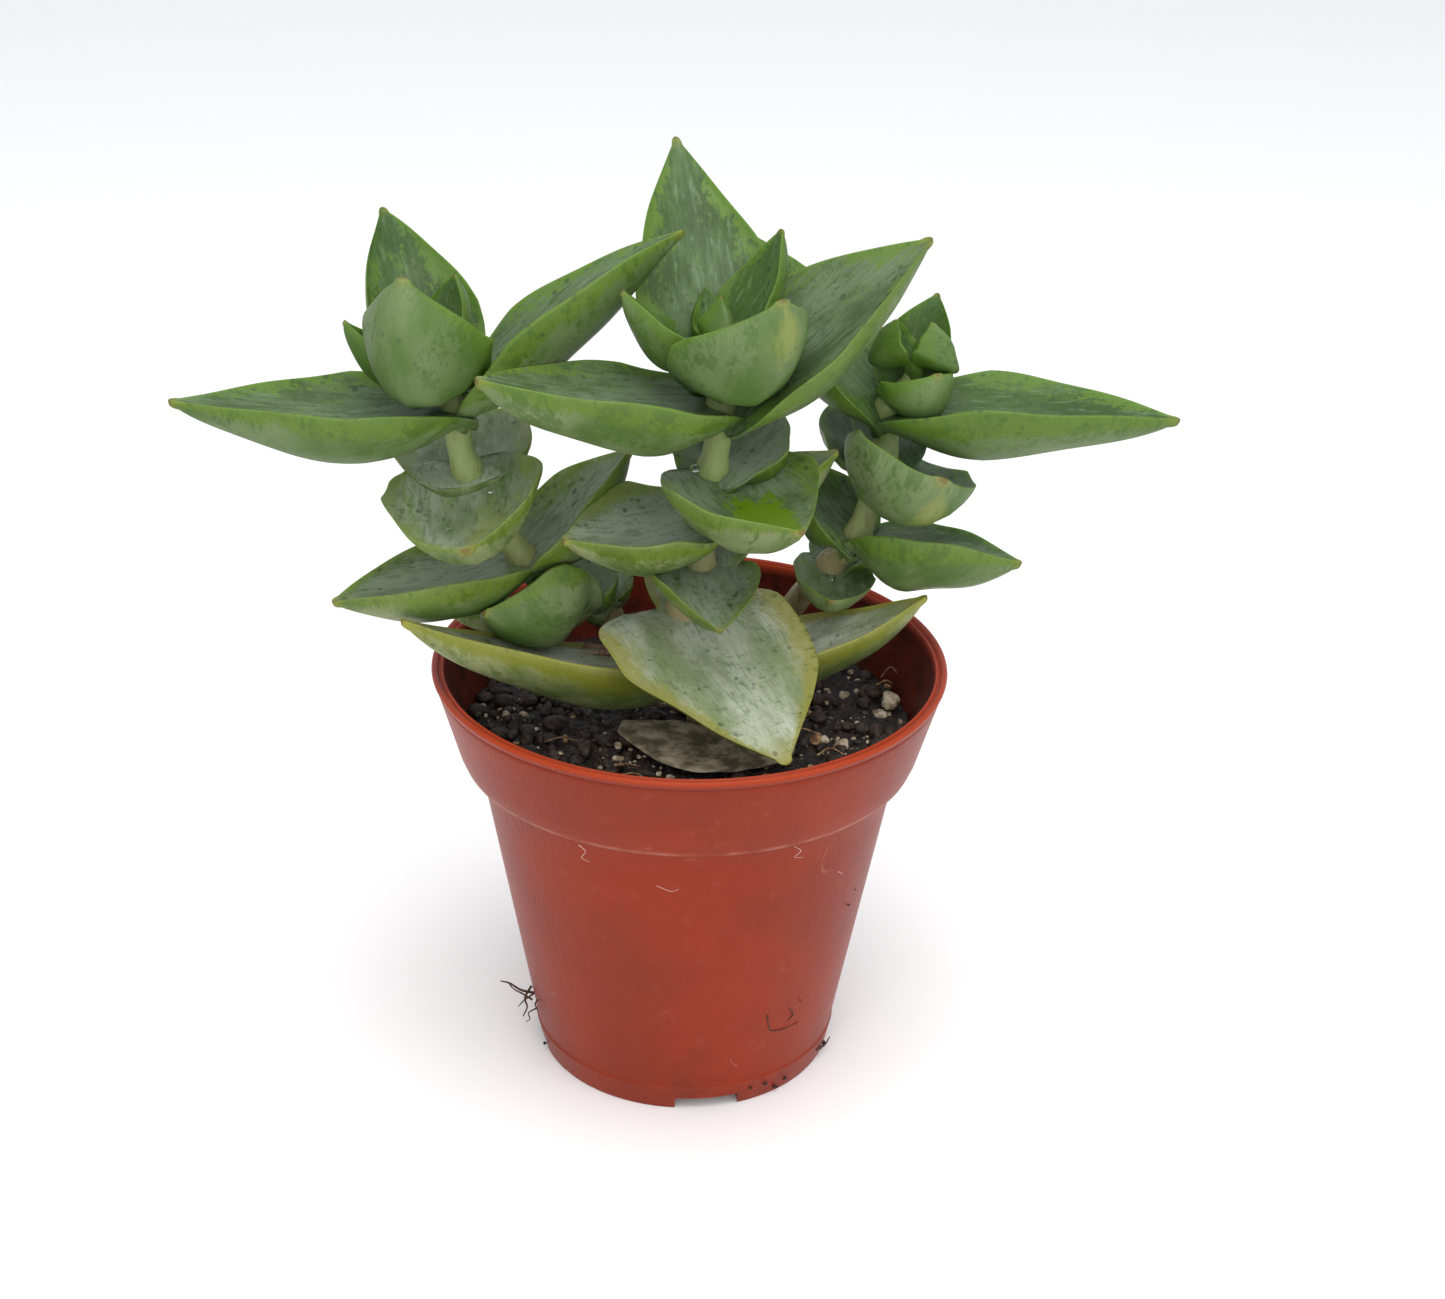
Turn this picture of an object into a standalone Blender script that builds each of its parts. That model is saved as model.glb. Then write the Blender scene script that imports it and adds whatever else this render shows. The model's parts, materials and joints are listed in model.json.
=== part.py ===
"""A string of buttons succulent in its small nursery pot: three leafy stems, soil, an old leaf, the pot.

The pot's axis is Z, its foot stands on Z = 0, and the photograph was taken from -Y.
"""

import math
from dataclasses import dataclass

import bmesh
import bpy
from mathutils import Vector

# Driving dimensions, in metres
MM = 0.001
GAP = 0.3 * MM
POT_HEIGHT = 47.0 * MM
RIM_RADIUS = 27.5 * MM
COLLAR_HEIGHT = 10.2 * MM
COLLAR_FOOT_RADIUS = 24.6 * MM
BODY_TOP_RADIUS = 23.0 * MM
FOOT_RADIUS = 16.4 * MM
WALL = 0.9 * MM
LIP_RADIUS = 0.7 * MM
FLOOR_LIFT = 2.4 * MM
FLOOR_THICKNESS = 1.2 * MM
FOOT_WALL = 1.6 * MM
NOTCH_HEIGHT = 1.5 * MM
NOTCH_WIDTH = 7.0 * MM
NOTCH_HEADINGS = (-80.0, 10.0, 100.0, 190.0)
DRAIN_RADIUS = 1.6 * MM
DRAIN_RING = 8.0 * MM
POT_SIDES = 48
SOIL_LEVEL = 39.2 * MM
SOIL_MOUND = 1.6 * MM
SOIL_RELIEF = 0.45 * MM
SOIL_RINGS = 7
SOIL_SIDES = 32
STEM_SIDES = 8
STEM_HOLE_DEPTH = 13.0 * MM
LEAF_RINGS = 7
LEAF_TOP_POINTS = 5
LEAF_BELOW_POINTS = 3
WIDEST_AT = 0.34
TIP_TAPER = 0.32
LEAF_ROOT_OVERLAP = 1.8
KEEL_AT_ROOT = 0.45
KEEL_FULL_AT = 0.28
OLD_LEAF_CENTRE = (1.6 * MM, -10.4 * MM)
OLD_LEAF_LENGTH = 18.6 * MM
OLD_LEAF_WIDTH = 9.0 * MM
OLD_LEAF_THICKNESS = 0.9 * MM
OLD_LEAF_LIFT = 2.1 * MM
OLD_LEAF_SLOPE = 0.09
OLD_LEAF_BOW = 1.4 * MM
OLD_LEAF_TURN = -14.0


@dataclass(frozen=True)
class Leaf:
    """One blade, placed by the straight line from the stem to its tip.

    Azimuth and rise are in degrees, length and width in millimetres. Curl is how many degrees the
    blade's pitch gains from root to tip, roll turns it about its own spine, cup is the channel's depth
    as a share of the half width, thick is the keel's depth in millimetres, blunt is the power that
    keeps the blade wide towards its tip, and root is the base's share of the full width.
    """

    azimuth: float
    rise: float
    length: float
    width: float
    curl: float = 20.0
    roll: float = 0.0
    cup: float = 0.35
    thick: float = 4.2
    blunt: float = 1.9
    root: float = 0.66


@dataclass(frozen=True)
class Whorl:
    """A pair of blades fused round the stem at one joint, in millimetres."""

    joint: tuple
    leaves: tuple


@dataclass(frozen=True)
class Stem:
    """A leafy stem: the soil point that it rises from, its thickness and its whorls from the top down."""

    name: str
    foot: tuple
    bend: tuple
    radius: float
    top_radius: float
    whorls: tuple


LEFT = Stem(
    name="leafy_stem_left",
    foot=(-4.5, 6.0),
    bend=(-7.5, 5.2, 46.5),
    radius=1.8,
    top_radius=1.6,
    whorls=(
        Whorl((-26.2, -6.0, 83.5), (Leaf(120, 60, 4.5, 3.6, 30), Leaf(300, 76, 5, 3.6, 20))),
        Whorl((-25.8, -6.0, 81.0), (
            Leaf(194, 34, 10, 6.0, 40, thick=2.8),
            Leaf(50, 70, 9.5, 6.5, 20, thick=2.8, blunt=3.0),
        )),
        Whorl((-25.0, -6.0, 80.8), (
            Leaf(252, 58, 14.0, 13.6, 84, cup=0.7, thick=3.0, blunt=3.4, root=0.8),
            Leaf(126, 52, 17.7, 12.0, 8, cup=0.45, thick=3.4, blunt=2.2, root=0.8),
        )),
        Whorl((-23.6, -6.0, 77.6), (
            Leaf(200, 6.5, 28.1, 13.5, 12, thick=4.8),
            Leaf(8.5, 37.1, 28.4, 12.2, -26, roll=-5, thick=4.6),
        )),
        Whorl((-22.8, -5.0, 70.4), (
            Leaf(275, -16, 13.0, 16.5, 34, roll=14, cup=0.45, blunt=3.2, root=0.85),
            Leaf(94, 8, 13.0, 14.5, 20, roll=-12, blunt=3.0, root=0.85),
        )),
        Whorl((-17.5, -3.0, 59.7), (
            Leaf(203, -5.5, 20.3, 11.5, -6, thick=4.6, blunt=2.4),
            Leaf(20, 42.5, 15.8, 11.5, -10, thick=4.6, blunt=2.2),
        )),
        Whorl((-12.4, -1.0, 54.4), (
            Leaf(222, 8, 11.8, 13.2, 30, roll=40, cup=0.6, thick=2.9, blunt=2.8, root=0.9),
            Leaf(60, 24, 8, 8.0, 14),
        )),
        Whorl((-10.0, 2.8, 52.7), (
            Leaf(206, 3, 16.7, 9.0, 24, roll=12, cup=0.4, thick=2.2, blunt=2.4),
            Leaf(80, 22, 7, 7.0, 14),
        )),
    ),
)
MIDDLE = Stem(
    name="leafy_stem_middle",
    foot=(1.2, -1.5),
    bend=(1.2, -1.8, 43.0),
    radius=1.9,
    top_radius=1.6,
    whorls=(
        Whorl((1.9, -6.0, 85.0), (Leaf(110, 60, 5, 3.8, 30), Leaf(290, 70, 5, 3.8, 20))),
        Whorl((2.1, -6.0, 82.6), (
            Leaf(198, 40, 12.3, 7.5, 24, thick=2.8, blunt=2.2),
            Leaf(33, 59, 14.3, 8.5, 24, thick=2.8, blunt=2.4),
        )),
        Whorl((2.5, -6.0, 81.8), (
            Leaf(302, 43, 15.0, 15.0, 60, cup=0.6, thick=2.6, blunt=3.4, root=0.85),
            Leaf(106.5, 46.8, 25.6, 14.5, 4, cup=0.25, thick=3.8, blunt=1.9, root=0.8),
        )),
        Whorl((2.9, -6.0, 78.3), (
            Leaf(206.5, 13.2, 26.6, 13.0, 8, roll=-2, thick=4.8, blunt=2.8, root=0.8),
            Leaf(16.5, 36, 26.2, 17.0, -6, roll=12, thick=4.4, blunt=2.0, root=0.8),
        )),
        Whorl((2.1, -6.0, 71.4), (
            Leaf(306, -6, 15.0, 17.0, 24, cup=0.4, blunt=2.6, root=0.85),
            Leaf(60, 14, 13.0, 13.0, 14, root=0.8),
        )),
        Whorl((0.9, -5.0, 65.7), (
            Leaf(207, 0, 15.2, 13.5, 12, roll=-6, blunt=2.4, root=0.85),
            Leaf(20, 20, 15.8, 12.0, 8, root=0.85),
        )),
        Whorl((0.9, -4.0, 60.2), (
            Leaf(280, -8, 13.4, 11.5, -4, roll=-6, thick=3.0, root=0.85),
            Leaf(85, 20, 14, 11.0, 10, root=0.85),
        )),
        Whorl((-0.8, -3.0, 54.4), (
            Leaf(302.5, -24, 22.4, 22.0, -8, cup=0.15, thick=2.6, blunt=2.1, root=1.0),
            Leaf(84, 8, 14, 9.5, 0),
        )),
        Whorl((1.1, -2.0, 46.9), (
            Leaf(197.5, 16.5, 33.0, 12.5, 20, roll=13, cup=0.2, thick=4.4, blunt=2.2, root=0.8),
            Leaf(6, 18, 25.2, 12.5, 22, roll=-4, cup=0.2, thick=4.2, blunt=2.2, root=0.8),
        )),
    ),
)
RIGHT = Stem(
    name="leafy_stem_right",
    foot=(7.5, 10.0),
    bend=(11.0, 9.8, 48.5),
    radius=1.8,
    top_radius=1.5,
    whorls=(
        Whorl((22.6, 6.0, 79.0), (Leaf(160, 65, 4.5, 3.6, 30), Leaf(340, 70, 4.5, 3.6, 20))),
        Whorl((21.8, 6.0, 76.0), (
            Leaf(300, 30, 6.5, 8.5, 60, cup=0.5, thick=2.8, blunt=4.0, root=0.9),
            Leaf(58, 54, 10.5, 8.5, 8, cup=0.4, thick=2.8, blunt=2.4, root=0.9),
        )),
        Whorl((20.2, 6.0, 73.8), (
            Leaf(-12, 3, 30.0, 12.5, -10, thick=5.0, blunt=2.2, root=0.8),
            Leaf(152, 43, 23.5, 14.0, 4, thick=4.4, root=0.8),
        )),
        Whorl((20.0, 6.0, 68.6), (
            Leaf(298, 7, 11.8, 15.5, 60, roll=-27, cup=0.5, thick=4.0, blunt=3.6, root=0.9),
            Leaf(110, 15, 11.0, 12.0, 20, blunt=3.0, root=0.9),
        )),
        Whorl((17.6, 5.0, 59.7), (
            Leaf(-17, -2, 17.8, 10.5, -12, thick=5.0, blunt=2.4),
            Leaf(141, 40, 10, 10.0, 10, root=0.85),
        )),
        Whorl((15.1, 7.4, 55.2), (
            Leaf(268, -2, 9.0, 9.0, 40, roll=-10, thick=2.4, blunt=3.0, root=0.9),
            Leaf(60, 15, 8, 8.0, 10),
        )),
    ),
)
STEMS = (LEFT, MIDDLE, RIGHT)


@dataclass(frozen=True)
class Finish:
    """A plain surface: linear colour, roughness and metallic value."""

    name: str
    colour: tuple
    roughness: float
    metallic: float = 0.0

    def material(self):
        """Make the Principled material."""
        made = bpy.data.materials.new(self.name)
        made.use_nodes = True
        shader = made.node_tree.nodes["Principled BSDF"]
        shader.inputs["Base Color"].default_value = (*self.colour, 1.0)
        shader.inputs["Roughness"].default_value = self.roughness
        shader.inputs["Metallic"].default_value = self.metallic
        made.diffuse_color = (*self.colour, 1.0)
        return made


TERRACOTTA_PLASTIC = Finish("terracotta_plastic", (0.34, 0.055, 0.026), 0.45)
POTTING_SOIL = Finish("potting_soil", (0.022, 0.014, 0.010), 0.95)
WITHERED_LEAF = Finish("withered_leaf", (0.24, 0.21, 0.15), 0.8)
SUCCULENT_GREEN = Finish("succulent_green", (0.11, 0.20, 0.08), 0.5)


def add_object(name, mesh_builder, finish):
    """Turn a bmesh into a named object with its faces outward."""
    bmesh.ops.recalc_face_normals(mesh_builder, faces=mesh_builder.faces)
    mesh = bpy.data.meshes.new(name)
    mesh_builder.to_mesh(mesh)
    mesh_builder.free()
    mesh.materials.append(finish.material())
    made = bpy.data.objects.new(name, mesh)
    bpy.context.scene.collection.objects.link(made)
    return made


def join_rings(builder, rings, closed_round=True):
    """Bridge rings of vertices with quads, one ring to the next."""
    for low, high in zip(rings, rings[1:]):
        count = len(low)
        for index in range(count if closed_round else count - 1):
            after = (index + 1) % count
            builder.faces.new((low[index], low[after], high[after], high[index]))


def close_ring(builder, ring, point):
    """Close the end of a tube with a fan to a point."""
    tip = builder.verts.new(point)
    for index, vertex in enumerate(ring):
        builder.faces.new((vertex, ring[(index + 1) % len(ring)], tip))


def lathe(profile, sides):
    """Spin a closed profile of (radius, height) pairs whose first and last points lie on the axis."""
    builder = bmesh.new()
    rings = []
    for radius, height in profile[1:-1]:
        ring = []
        for step in range(sides):
            angle = math.tau * step / sides
            ring.append(builder.verts.new((radius * math.cos(angle), radius * math.sin(angle), height)))
        rings.append(ring)
    join_rings(builder, rings)
    close_ring(builder, rings[0], (0.0, 0.0, profile[0][1]))
    close_ring(builder, rings[-1], (0.0, 0.0, profile[-1][1]))
    return builder


def body_radius(height):
    """Outside radius of the pot's tapered body at a height."""
    share = height / (POT_HEIGHT - COLLAR_HEIGHT)
    return FOOT_RADIUS + (BODY_TOP_RADIUS - FOOT_RADIUS) * share


def collar_radius(height):
    """Outside radius of the pot's collar at a height."""
    share = (height - (POT_HEIGHT - COLLAR_HEIGHT)) / COLLAR_HEIGHT
    return COLLAR_FOOT_RADIUS + (RIM_RADIUS - COLLAR_FOOT_RADIUS) * share


def pot_inside(clearance):
    """Inside of the pot from the floor's centre up, kept a clearance away from the wall."""
    floor = FLOOR_LIFT + FLOOR_THICKNESS
    shoulder = POT_HEIGHT - COLLAR_HEIGHT + WALL
    inset = WALL + clearance
    return [
        (0.0, floor + clearance),
        (body_radius(floor) - inset - 0.6 * MM, floor + clearance),
        (body_radius(floor + 0.8 * MM) - inset, floor + clearance + 0.7 * MM),
        (body_radius(shoulder - 0.4 * MM) - inset, shoulder - 0.4 * MM + clearance),
        (collar_radius(shoulder + 0.8 * MM) - inset, shoulder + 0.8 * MM + clearance),
    ]


def pot_profile():
    """The wall's closed outline: under the floor, out round the foot, up, over the lip and down inside."""
    shoulder = POT_HEIGHT - COLLAR_HEIGHT
    under = [
        (0.0, FLOOR_LIFT),
        (FOOT_RADIUS - FOOT_WALL, FLOOR_LIFT),
        (FOOT_RADIUS - FOOT_WALL, 0.0),
    ]
    outside = [
        (FOOT_RADIUS - 0.25 * MM, 0.0),
        (FOOT_RADIUS, 0.25 * MM),
        (body_radius(3.0 * MM), 3.0 * MM),
        (body_radius(3.2 * MM) - 0.15 * MM, 3.2 * MM),
        (BODY_TOP_RADIUS - 0.15 * MM, shoulder - 0.6 * MM),
        (BODY_TOP_RADIUS + 0.3 * MM, shoulder - 0.1 * MM),
        (COLLAR_FOOT_RADIUS - 0.3 * MM, shoulder),
        (COLLAR_FOOT_RADIUS, shoulder + 0.4 * MM),
    ]
    lip = []
    for degrees in (0, 45, 90, 135, 180):
        angle = math.radians(degrees)
        radius = RIM_RADIUS - LIP_RADIUS + LIP_RADIUS * math.cos(angle)
        lip.append((radius, POT_HEIGHT - LIP_RADIUS + LIP_RADIUS * math.sin(angle)))
    inside = list(reversed(pot_inside(0.0)))
    return under + outside + lip + inside


def cutter(name, builder):
    """A hidden Boolean operand."""
    made = add_object(name, builder, TERRACOTTA_PLASTIC)
    made.hide_render = True
    made.display_type = "WIRE"
    return made


def apply_boolean(target, operation, tools):
    """Join or cut a collection of tool objects in one step, then remove them."""
    group = bpy.data.collections.new(target.name + "_tools")
    bpy.context.scene.collection.children.link(group)
    for tool in tools:
        bpy.context.scene.collection.objects.unlink(tool)
        group.objects.link(tool)
    modifier = target.modifiers.new(operation.title(), "BOOLEAN")
    modifier.operation = operation
    modifier.operand_type = "COLLECTION"
    modifier.collection = group
    modifier.solver = "EXACT"
    graph = bpy.context.evaluated_depsgraph_get()
    result = bpy.data.meshes.new_from_object(target.evaluated_get(graph))
    target.modifiers.clear()
    target.data = result
    for tool in tools:
        bpy.data.objects.remove(tool)
    bpy.data.collections.remove(group)


def box(centre, size, heading):
    """A box turned about Z by a heading in degrees."""
    builder = bmesh.new()
    bmesh.ops.create_cube(builder, size=1.0)
    bmesh.ops.scale(builder, vec=size, verts=builder.verts)
    bmesh.ops.translate(builder, vec=(centre[0], 0.0, centre[1]), verts=builder.verts)
    turn = math.radians(heading)
    for vertex in builder.verts:
        x, y = vertex.co.x, vertex.co.y
        vertex.co.x = x * math.cos(turn) - y * math.sin(turn)
        vertex.co.y = x * math.sin(turn) + y * math.cos(turn)
    return builder


def post(x, y, low, high, radius, sides=16):
    """An upright cylinder between two heights."""
    builder = bmesh.new()
    bmesh.ops.create_cone(
        builder, cap_ends=True, segments=sides, radius1=radius, radius2=radius, depth=high - low
    )
    bmesh.ops.translate(builder, vec=(x, y, (low + high) / 2), verts=builder.verts)
    return builder


def build_pot():
    """The tapered plastic pot with its collar, notched foot and drain holes."""
    pot = add_object("pot", lathe(pot_profile(), POT_SIDES), TERRACOTTA_PLASTIC)
    tools = []
    for number, heading in enumerate(NOTCH_HEADINGS):
        notch = box((FOOT_RADIUS, 0.0), (8.0 * MM, NOTCH_WIDTH, 2.0 * NOTCH_HEIGHT), heading)
        tools.append(cutter(f"notch_{number}", notch))
    for number in range(4):
        angle = math.radians(NOTCH_HEADINGS[number] + 45.0)
        x, y = DRAIN_RING * math.cos(angle), DRAIN_RING * math.sin(angle)
        low, high = FLOOR_LIFT - 1.0 * MM, FLOOR_LIFT + FLOOR_THICKNESS + 1.0 * MM
        tools.append(cutter(f"drain_{number}", post(x, y, low, high, DRAIN_RADIUS)))
    apply_boolean(pot, "DIFFERENCE", tools)
    return pot


def soil_height(x, y):
    """Height of the soil: a low mound with crossing waves for its lumps, level along the wall."""
    radius = math.hypot(x, y) / (RIM_RADIUS - WALL)
    mound = SOIL_MOUND * (1.0 - radius * radius)
    waves = math.sin(x * 610.0 + 1.3) * math.cos(y * 540.0 - 0.4)
    waves += 0.6 * math.sin(x * 1130.0 - y * 870.0 + 0.7)
    return SOIL_LEVEL + mound + SOIL_RELIEF * waves * (1.0 - radius ** 6)


def build_soil():
    """The soil that fills the pot, with a plain hole for each stem."""
    wall = pot_inside(GAP)
    top_radius = collar_radius(SOIL_LEVEL) - WALL - GAP
    builder = bmesh.new()
    rings = []
    for radius, height in wall[1:]:
        rings.append([
            builder.verts.new((
                radius * math.cos(math.tau * step / SOIL_SIDES),
                radius * math.sin(math.tau * step / SOIL_SIDES),
                height,
            ))
            for step in range(SOIL_SIDES)
        ])
    for index in range(SOIL_RINGS):
        radius = top_radius * (1.0 - index / SOIL_RINGS)
        ring = []
        for step in range(SOIL_SIDES):
            angle = math.tau * step / SOIL_SIDES
            x, y = radius * math.cos(angle), radius * math.sin(angle)
            ring.append(builder.verts.new((x, y, soil_height(x, y))))
        rings.append(ring)
    join_rings(builder, rings)
    close_ring(builder, rings[0], (0.0, 0.0, wall[0][1]))
    close_ring(builder, rings[-1], (0.0, 0.0, soil_height(0.0, 0.0)))
    soil = add_object("soil", builder, POTTING_SOIL)
    holes = []
    for number, stem in enumerate(STEMS):
        x, y = stem.foot[0] * MM, stem.foot[1] * MM
        low = SOIL_LEVEL - STEM_HOLE_DEPTH
        hole = post(x, y, low, SOIL_LEVEL + 8.0 * MM, stem.radius * MM + 1.5 * GAP, 14)
        holes.append(cutter(f"stem_hole_{number}", hole))
    apply_boolean(soil, "DIFFERENCE", holes)
    return soil


def blade_share(leaf, along):
    """Half width of a blade as a share of its widest, from root (0) to tip (1)."""
    if along < WIDEST_AT:
        near = 1.0 - max(along, 0.0) / WIDEST_AT
        return 1.0 - (1.0 - leaf.root) * near * near
    far = (along - WIDEST_AT) / (1.0 - WIDEST_AT)
    return (1.0 - far ** leaf.blunt) * (1.0 - TIP_TAPER * far)


def keel_share(along):
    """Depth of a blade's keel as a share of its full depth: shallow where the pair joins the stalk."""
    near = 1.0 - min(max(along, 0.0) / KEEL_FULL_AT, 1.0)
    return 1.0 - (1.0 - KEEL_AT_ROOT) * near * near


def spine_length(leaf):
    """Arc length of a blade's spine, whose chord is the leaf's length."""
    half_bend = math.radians(leaf.curl) / 2
    return leaf.length if abs(half_bend) < 1e-4 else leaf.length * half_bend / math.sin(half_bend)


def spine_point(leaf, along):
    """Distance out, height and pitch of a blade's spine, which bends evenly from root to tip."""
    bend = math.radians(leaf.curl)
    arc = spine_length(leaf)
    first = math.radians(leaf.rise) - bend / 2
    pitch = first + bend * along
    if abs(bend) < 1e-4:
        return arc * along * math.cos(first), arc * along * math.sin(first), pitch
    out = arc * (math.sin(pitch) - math.sin(first)) / bend
    up = arc * (math.cos(first) - math.cos(pitch)) / bend
    return out, up, pitch


def leaf_builder(joint, leaf):
    """Build one boat-shaped blade: sharp margins, a channel above and a keel below."""
    heading = math.radians(leaf.azimuth)
    forward = Vector((math.cos(heading), math.sin(heading), 0.0))
    upward = Vector((0.0, 0.0, 1.0))
    across = upward.cross(forward)
    roll = math.radians(leaf.roll)
    builder = bmesh.new()
    rings = []
    arc = spine_length(leaf)
    stations = [-LEAF_ROOT_OVERLAP / arc] + [(index / LEAF_RINGS) ** 0.9 for index in range(LEAF_RINGS)]
    for along in stations:
        out, up, pitch = spine_point(leaf, along)
        here = Vector(joint) + out * forward + up * upward
        lift = (math.cos(pitch) * forward + math.sin(pitch) * upward).cross(across)
        side = math.cos(roll) * across + math.sin(roll) * lift
        rise = math.cos(roll) * lift - math.sin(roll) * across
        share = blade_share(leaf, along)
        half = leaf.width / 2 * share
        depth = leaf.thick * share ** 0.7 * keel_share(along)
        channel = leaf.cup * half * min(1.0, 0.35 + max(along, 0.0) * 2.0)
        ring = []
        for index in range(LEAF_TOP_POINTS):
            u = -1.0 + 2.0 * index / (LEAF_TOP_POINTS - 1)
            ring.append(here + side * (half * u) + rise * (channel * (u * u - 0.35)))
        for index in range(1, LEAF_BELOW_POINTS + 1):
            u = math.cos(math.pi * index / (LEAF_BELOW_POINTS + 1))
            drop = depth * (1.0 - u * u) ** 0.6
            ring.append(here + side * (half * u) + rise * (channel * (u * u - 0.35) - drop))
        rings.append([builder.verts.new(place * MM) for place in ring])
    out, up, pitch = spine_point(leaf, 1.0)
    join_rings(builder, rings)
    close_ring(builder, rings[-1], (Vector(joint) + out * forward + up * upward) * MM)
    builder.faces.new(rings[0])
    bmesh.ops.triangulate(builder, faces=builder.faces)
    return builder


def stem_builder(stem):
    """Sweep a round stalk through the soil point, the bend and each joint up to the top one."""
    path = [Vector((*stem.foot, 1000 * SOIL_LEVEL - 12.0)), Vector((*stem.foot, 1000 * SOIL_LEVEL + 1.0))]
    path.append(Vector(stem.bend))
    path.extend(Vector(whorl.joint) for whorl in reversed(stem.whorls))
    builder = bmesh.new()
    rings = []
    for index, place in enumerate(path):
        ahead = path[min(index + 1, len(path) - 1)] - path[max(index - 1, 0)]
        ahead.normalize()
        side = ahead.cross(Vector((0.0, 1.0, 0.0))).normalized()
        other = ahead.cross(side)
        share = index / (len(path) - 1)
        radius = stem.radius + (stem.top_radius - stem.radius) * share
        if index == len(path) - 1:
            radius = 0.5
        ring = []
        for step in range(STEM_SIDES):
            angle = math.tau * step / STEM_SIDES
            ring.append(builder.verts.new(
                (place + radius * (math.cos(angle) * side + math.sin(angle) * other)) * MM
            ))
        rings.append(ring)
    join_rings(builder, rings)
    builder.faces.new(rings[0])
    builder.faces.new(rings[-1])
    bmesh.ops.triangulate(builder, faces=builder.faces)
    return builder


def fill_pockets(target):
    """Fill what the young blades close off inside by dropping every shell but the outer one."""
    builder = bmesh.new()
    builder.from_mesh(target.data)
    unseen = set(builder.verts)
    shells = []
    while unseen:
        front = [unseen.pop()]
        shell = list(front)
        while front:
            for edge in front.pop().link_edges:
                for vertex in edge.verts:
                    if vertex in unseen:
                        unseen.remove(vertex)
                        front.append(vertex)
                        shell.append(vertex)
        shells.append(shell)
    shells.sort(key=len)
    for shell in shells[:-1]:
        bmesh.ops.delete(builder, geom=shell, context="VERTS")
    builder.to_mesh(target.data)
    builder.free()


def build_leafy_stem(stem):
    """Fuse a stalk and all its blades into one body."""
    stalk = add_object(stem.name, stem_builder(stem), SUCCULENT_GREEN)
    blades = []
    for number, whorl in enumerate(stem.whorls):
        for side, leaf in enumerate(whorl.leaves):
            blades.append(cutter(f"{stem.name}_blade_{number}_{side}", leaf_builder(whorl.joint, leaf)))
    apply_boolean(stalk, "UNION", blades)
    fill_pockets(stalk)
    return stalk


def build_old_leaf():
    """The withered leaf that lies on the soil below the lowest blades."""
    builder = bmesh.new()
    steps, lines = 10, 5
    turn = math.radians(OLD_LEAF_TURN)
    layers = []
    for layer in range(2):
        height = SOIL_LEVEL + OLD_LEAF_LIFT + layer * OLD_LEAF_THICKNESS
        grid = []
        for index in range(steps + 1):
            along = index / steps
            x = (along - 0.5) * OLD_LEAF_LENGTH
            bow = OLD_LEAF_BOW * (2.0 * along - 1.0) ** 2
            half = OLD_LEAF_WIDTH / 2 * max(0.16, math.sin(math.pi * (0.08 + 0.84 * along)))
            row = []
            for line in range(lines):
                y = bow + half * (2.0 * line / (lines - 1) - 1.0)
                back = x * math.sin(turn) + y * math.cos(turn)
                row.append(builder.verts.new((
                    OLD_LEAF_CENTRE[0] + x * math.cos(turn) - y * math.sin(turn),
                    OLD_LEAF_CENTRE[1] + back,
                    height + OLD_LEAF_SLOPE * back,
                )))
            grid.append(row)
        layers.append(grid)
    for grid in layers:
        join_rings(builder, grid, closed_round=False)
    for index in range(steps):
        for line in (0, lines - 1):
            builder.faces.new((
                layers[0][index][line], layers[0][index + 1][line],
                layers[1][index + 1][line], layers[1][index][line],
            ))
    for line in range(lines - 1):
        for index in (0, steps):
            builder.faces.new((
                layers[0][index][line], layers[0][index][line + 1],
                layers[1][index][line + 1], layers[1][index][line],
            ))
    return add_object("old_leaf", builder, WITHERED_LEAF)


def main():
    """Clear the scene and build every piece."""
    for existing in list(bpy.data.objects):
        bpy.data.objects.remove(existing)
    build_pot()
    build_soil()
    for stem in STEMS:
        build_leafy_stem(stem)
    build_old_leaf()


main()
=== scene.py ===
"""A string of buttons succulent in its small nursery pot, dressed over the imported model.

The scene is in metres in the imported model's frame: Z is the pot's axis, and the viewer of the
photograph stands at -Y. Leaf directions are in degrees. Sizes and places in the classes and tables
below are in millimetres where nothing else is said, and they are turned into metres as meshes are made.
"""

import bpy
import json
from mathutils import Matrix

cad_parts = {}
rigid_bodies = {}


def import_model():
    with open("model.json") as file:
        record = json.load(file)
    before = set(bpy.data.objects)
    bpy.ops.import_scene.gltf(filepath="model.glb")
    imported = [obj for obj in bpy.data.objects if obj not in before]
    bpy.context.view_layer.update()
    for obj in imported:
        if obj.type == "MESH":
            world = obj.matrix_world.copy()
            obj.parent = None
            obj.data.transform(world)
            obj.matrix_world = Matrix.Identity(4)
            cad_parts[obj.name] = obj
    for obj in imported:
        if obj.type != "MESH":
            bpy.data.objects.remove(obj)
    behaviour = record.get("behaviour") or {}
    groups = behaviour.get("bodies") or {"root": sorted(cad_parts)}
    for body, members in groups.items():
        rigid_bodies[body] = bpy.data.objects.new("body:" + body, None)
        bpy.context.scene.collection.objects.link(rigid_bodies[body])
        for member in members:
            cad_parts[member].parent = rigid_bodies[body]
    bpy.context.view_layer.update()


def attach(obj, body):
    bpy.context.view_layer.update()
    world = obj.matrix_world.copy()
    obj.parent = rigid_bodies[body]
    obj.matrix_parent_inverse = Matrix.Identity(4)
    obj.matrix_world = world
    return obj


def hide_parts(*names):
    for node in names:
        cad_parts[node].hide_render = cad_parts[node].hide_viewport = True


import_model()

import json
import logging
import math
from dataclasses import dataclass, field
from enum import Enum

import bmesh
import bpy
import numpy as np
from mathutils import Matrix, Vector

log = logging.getLogger("string_of_buttons")

MM = 0.001
ROOT_BODY = "root"
SEED = 20261125

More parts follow.
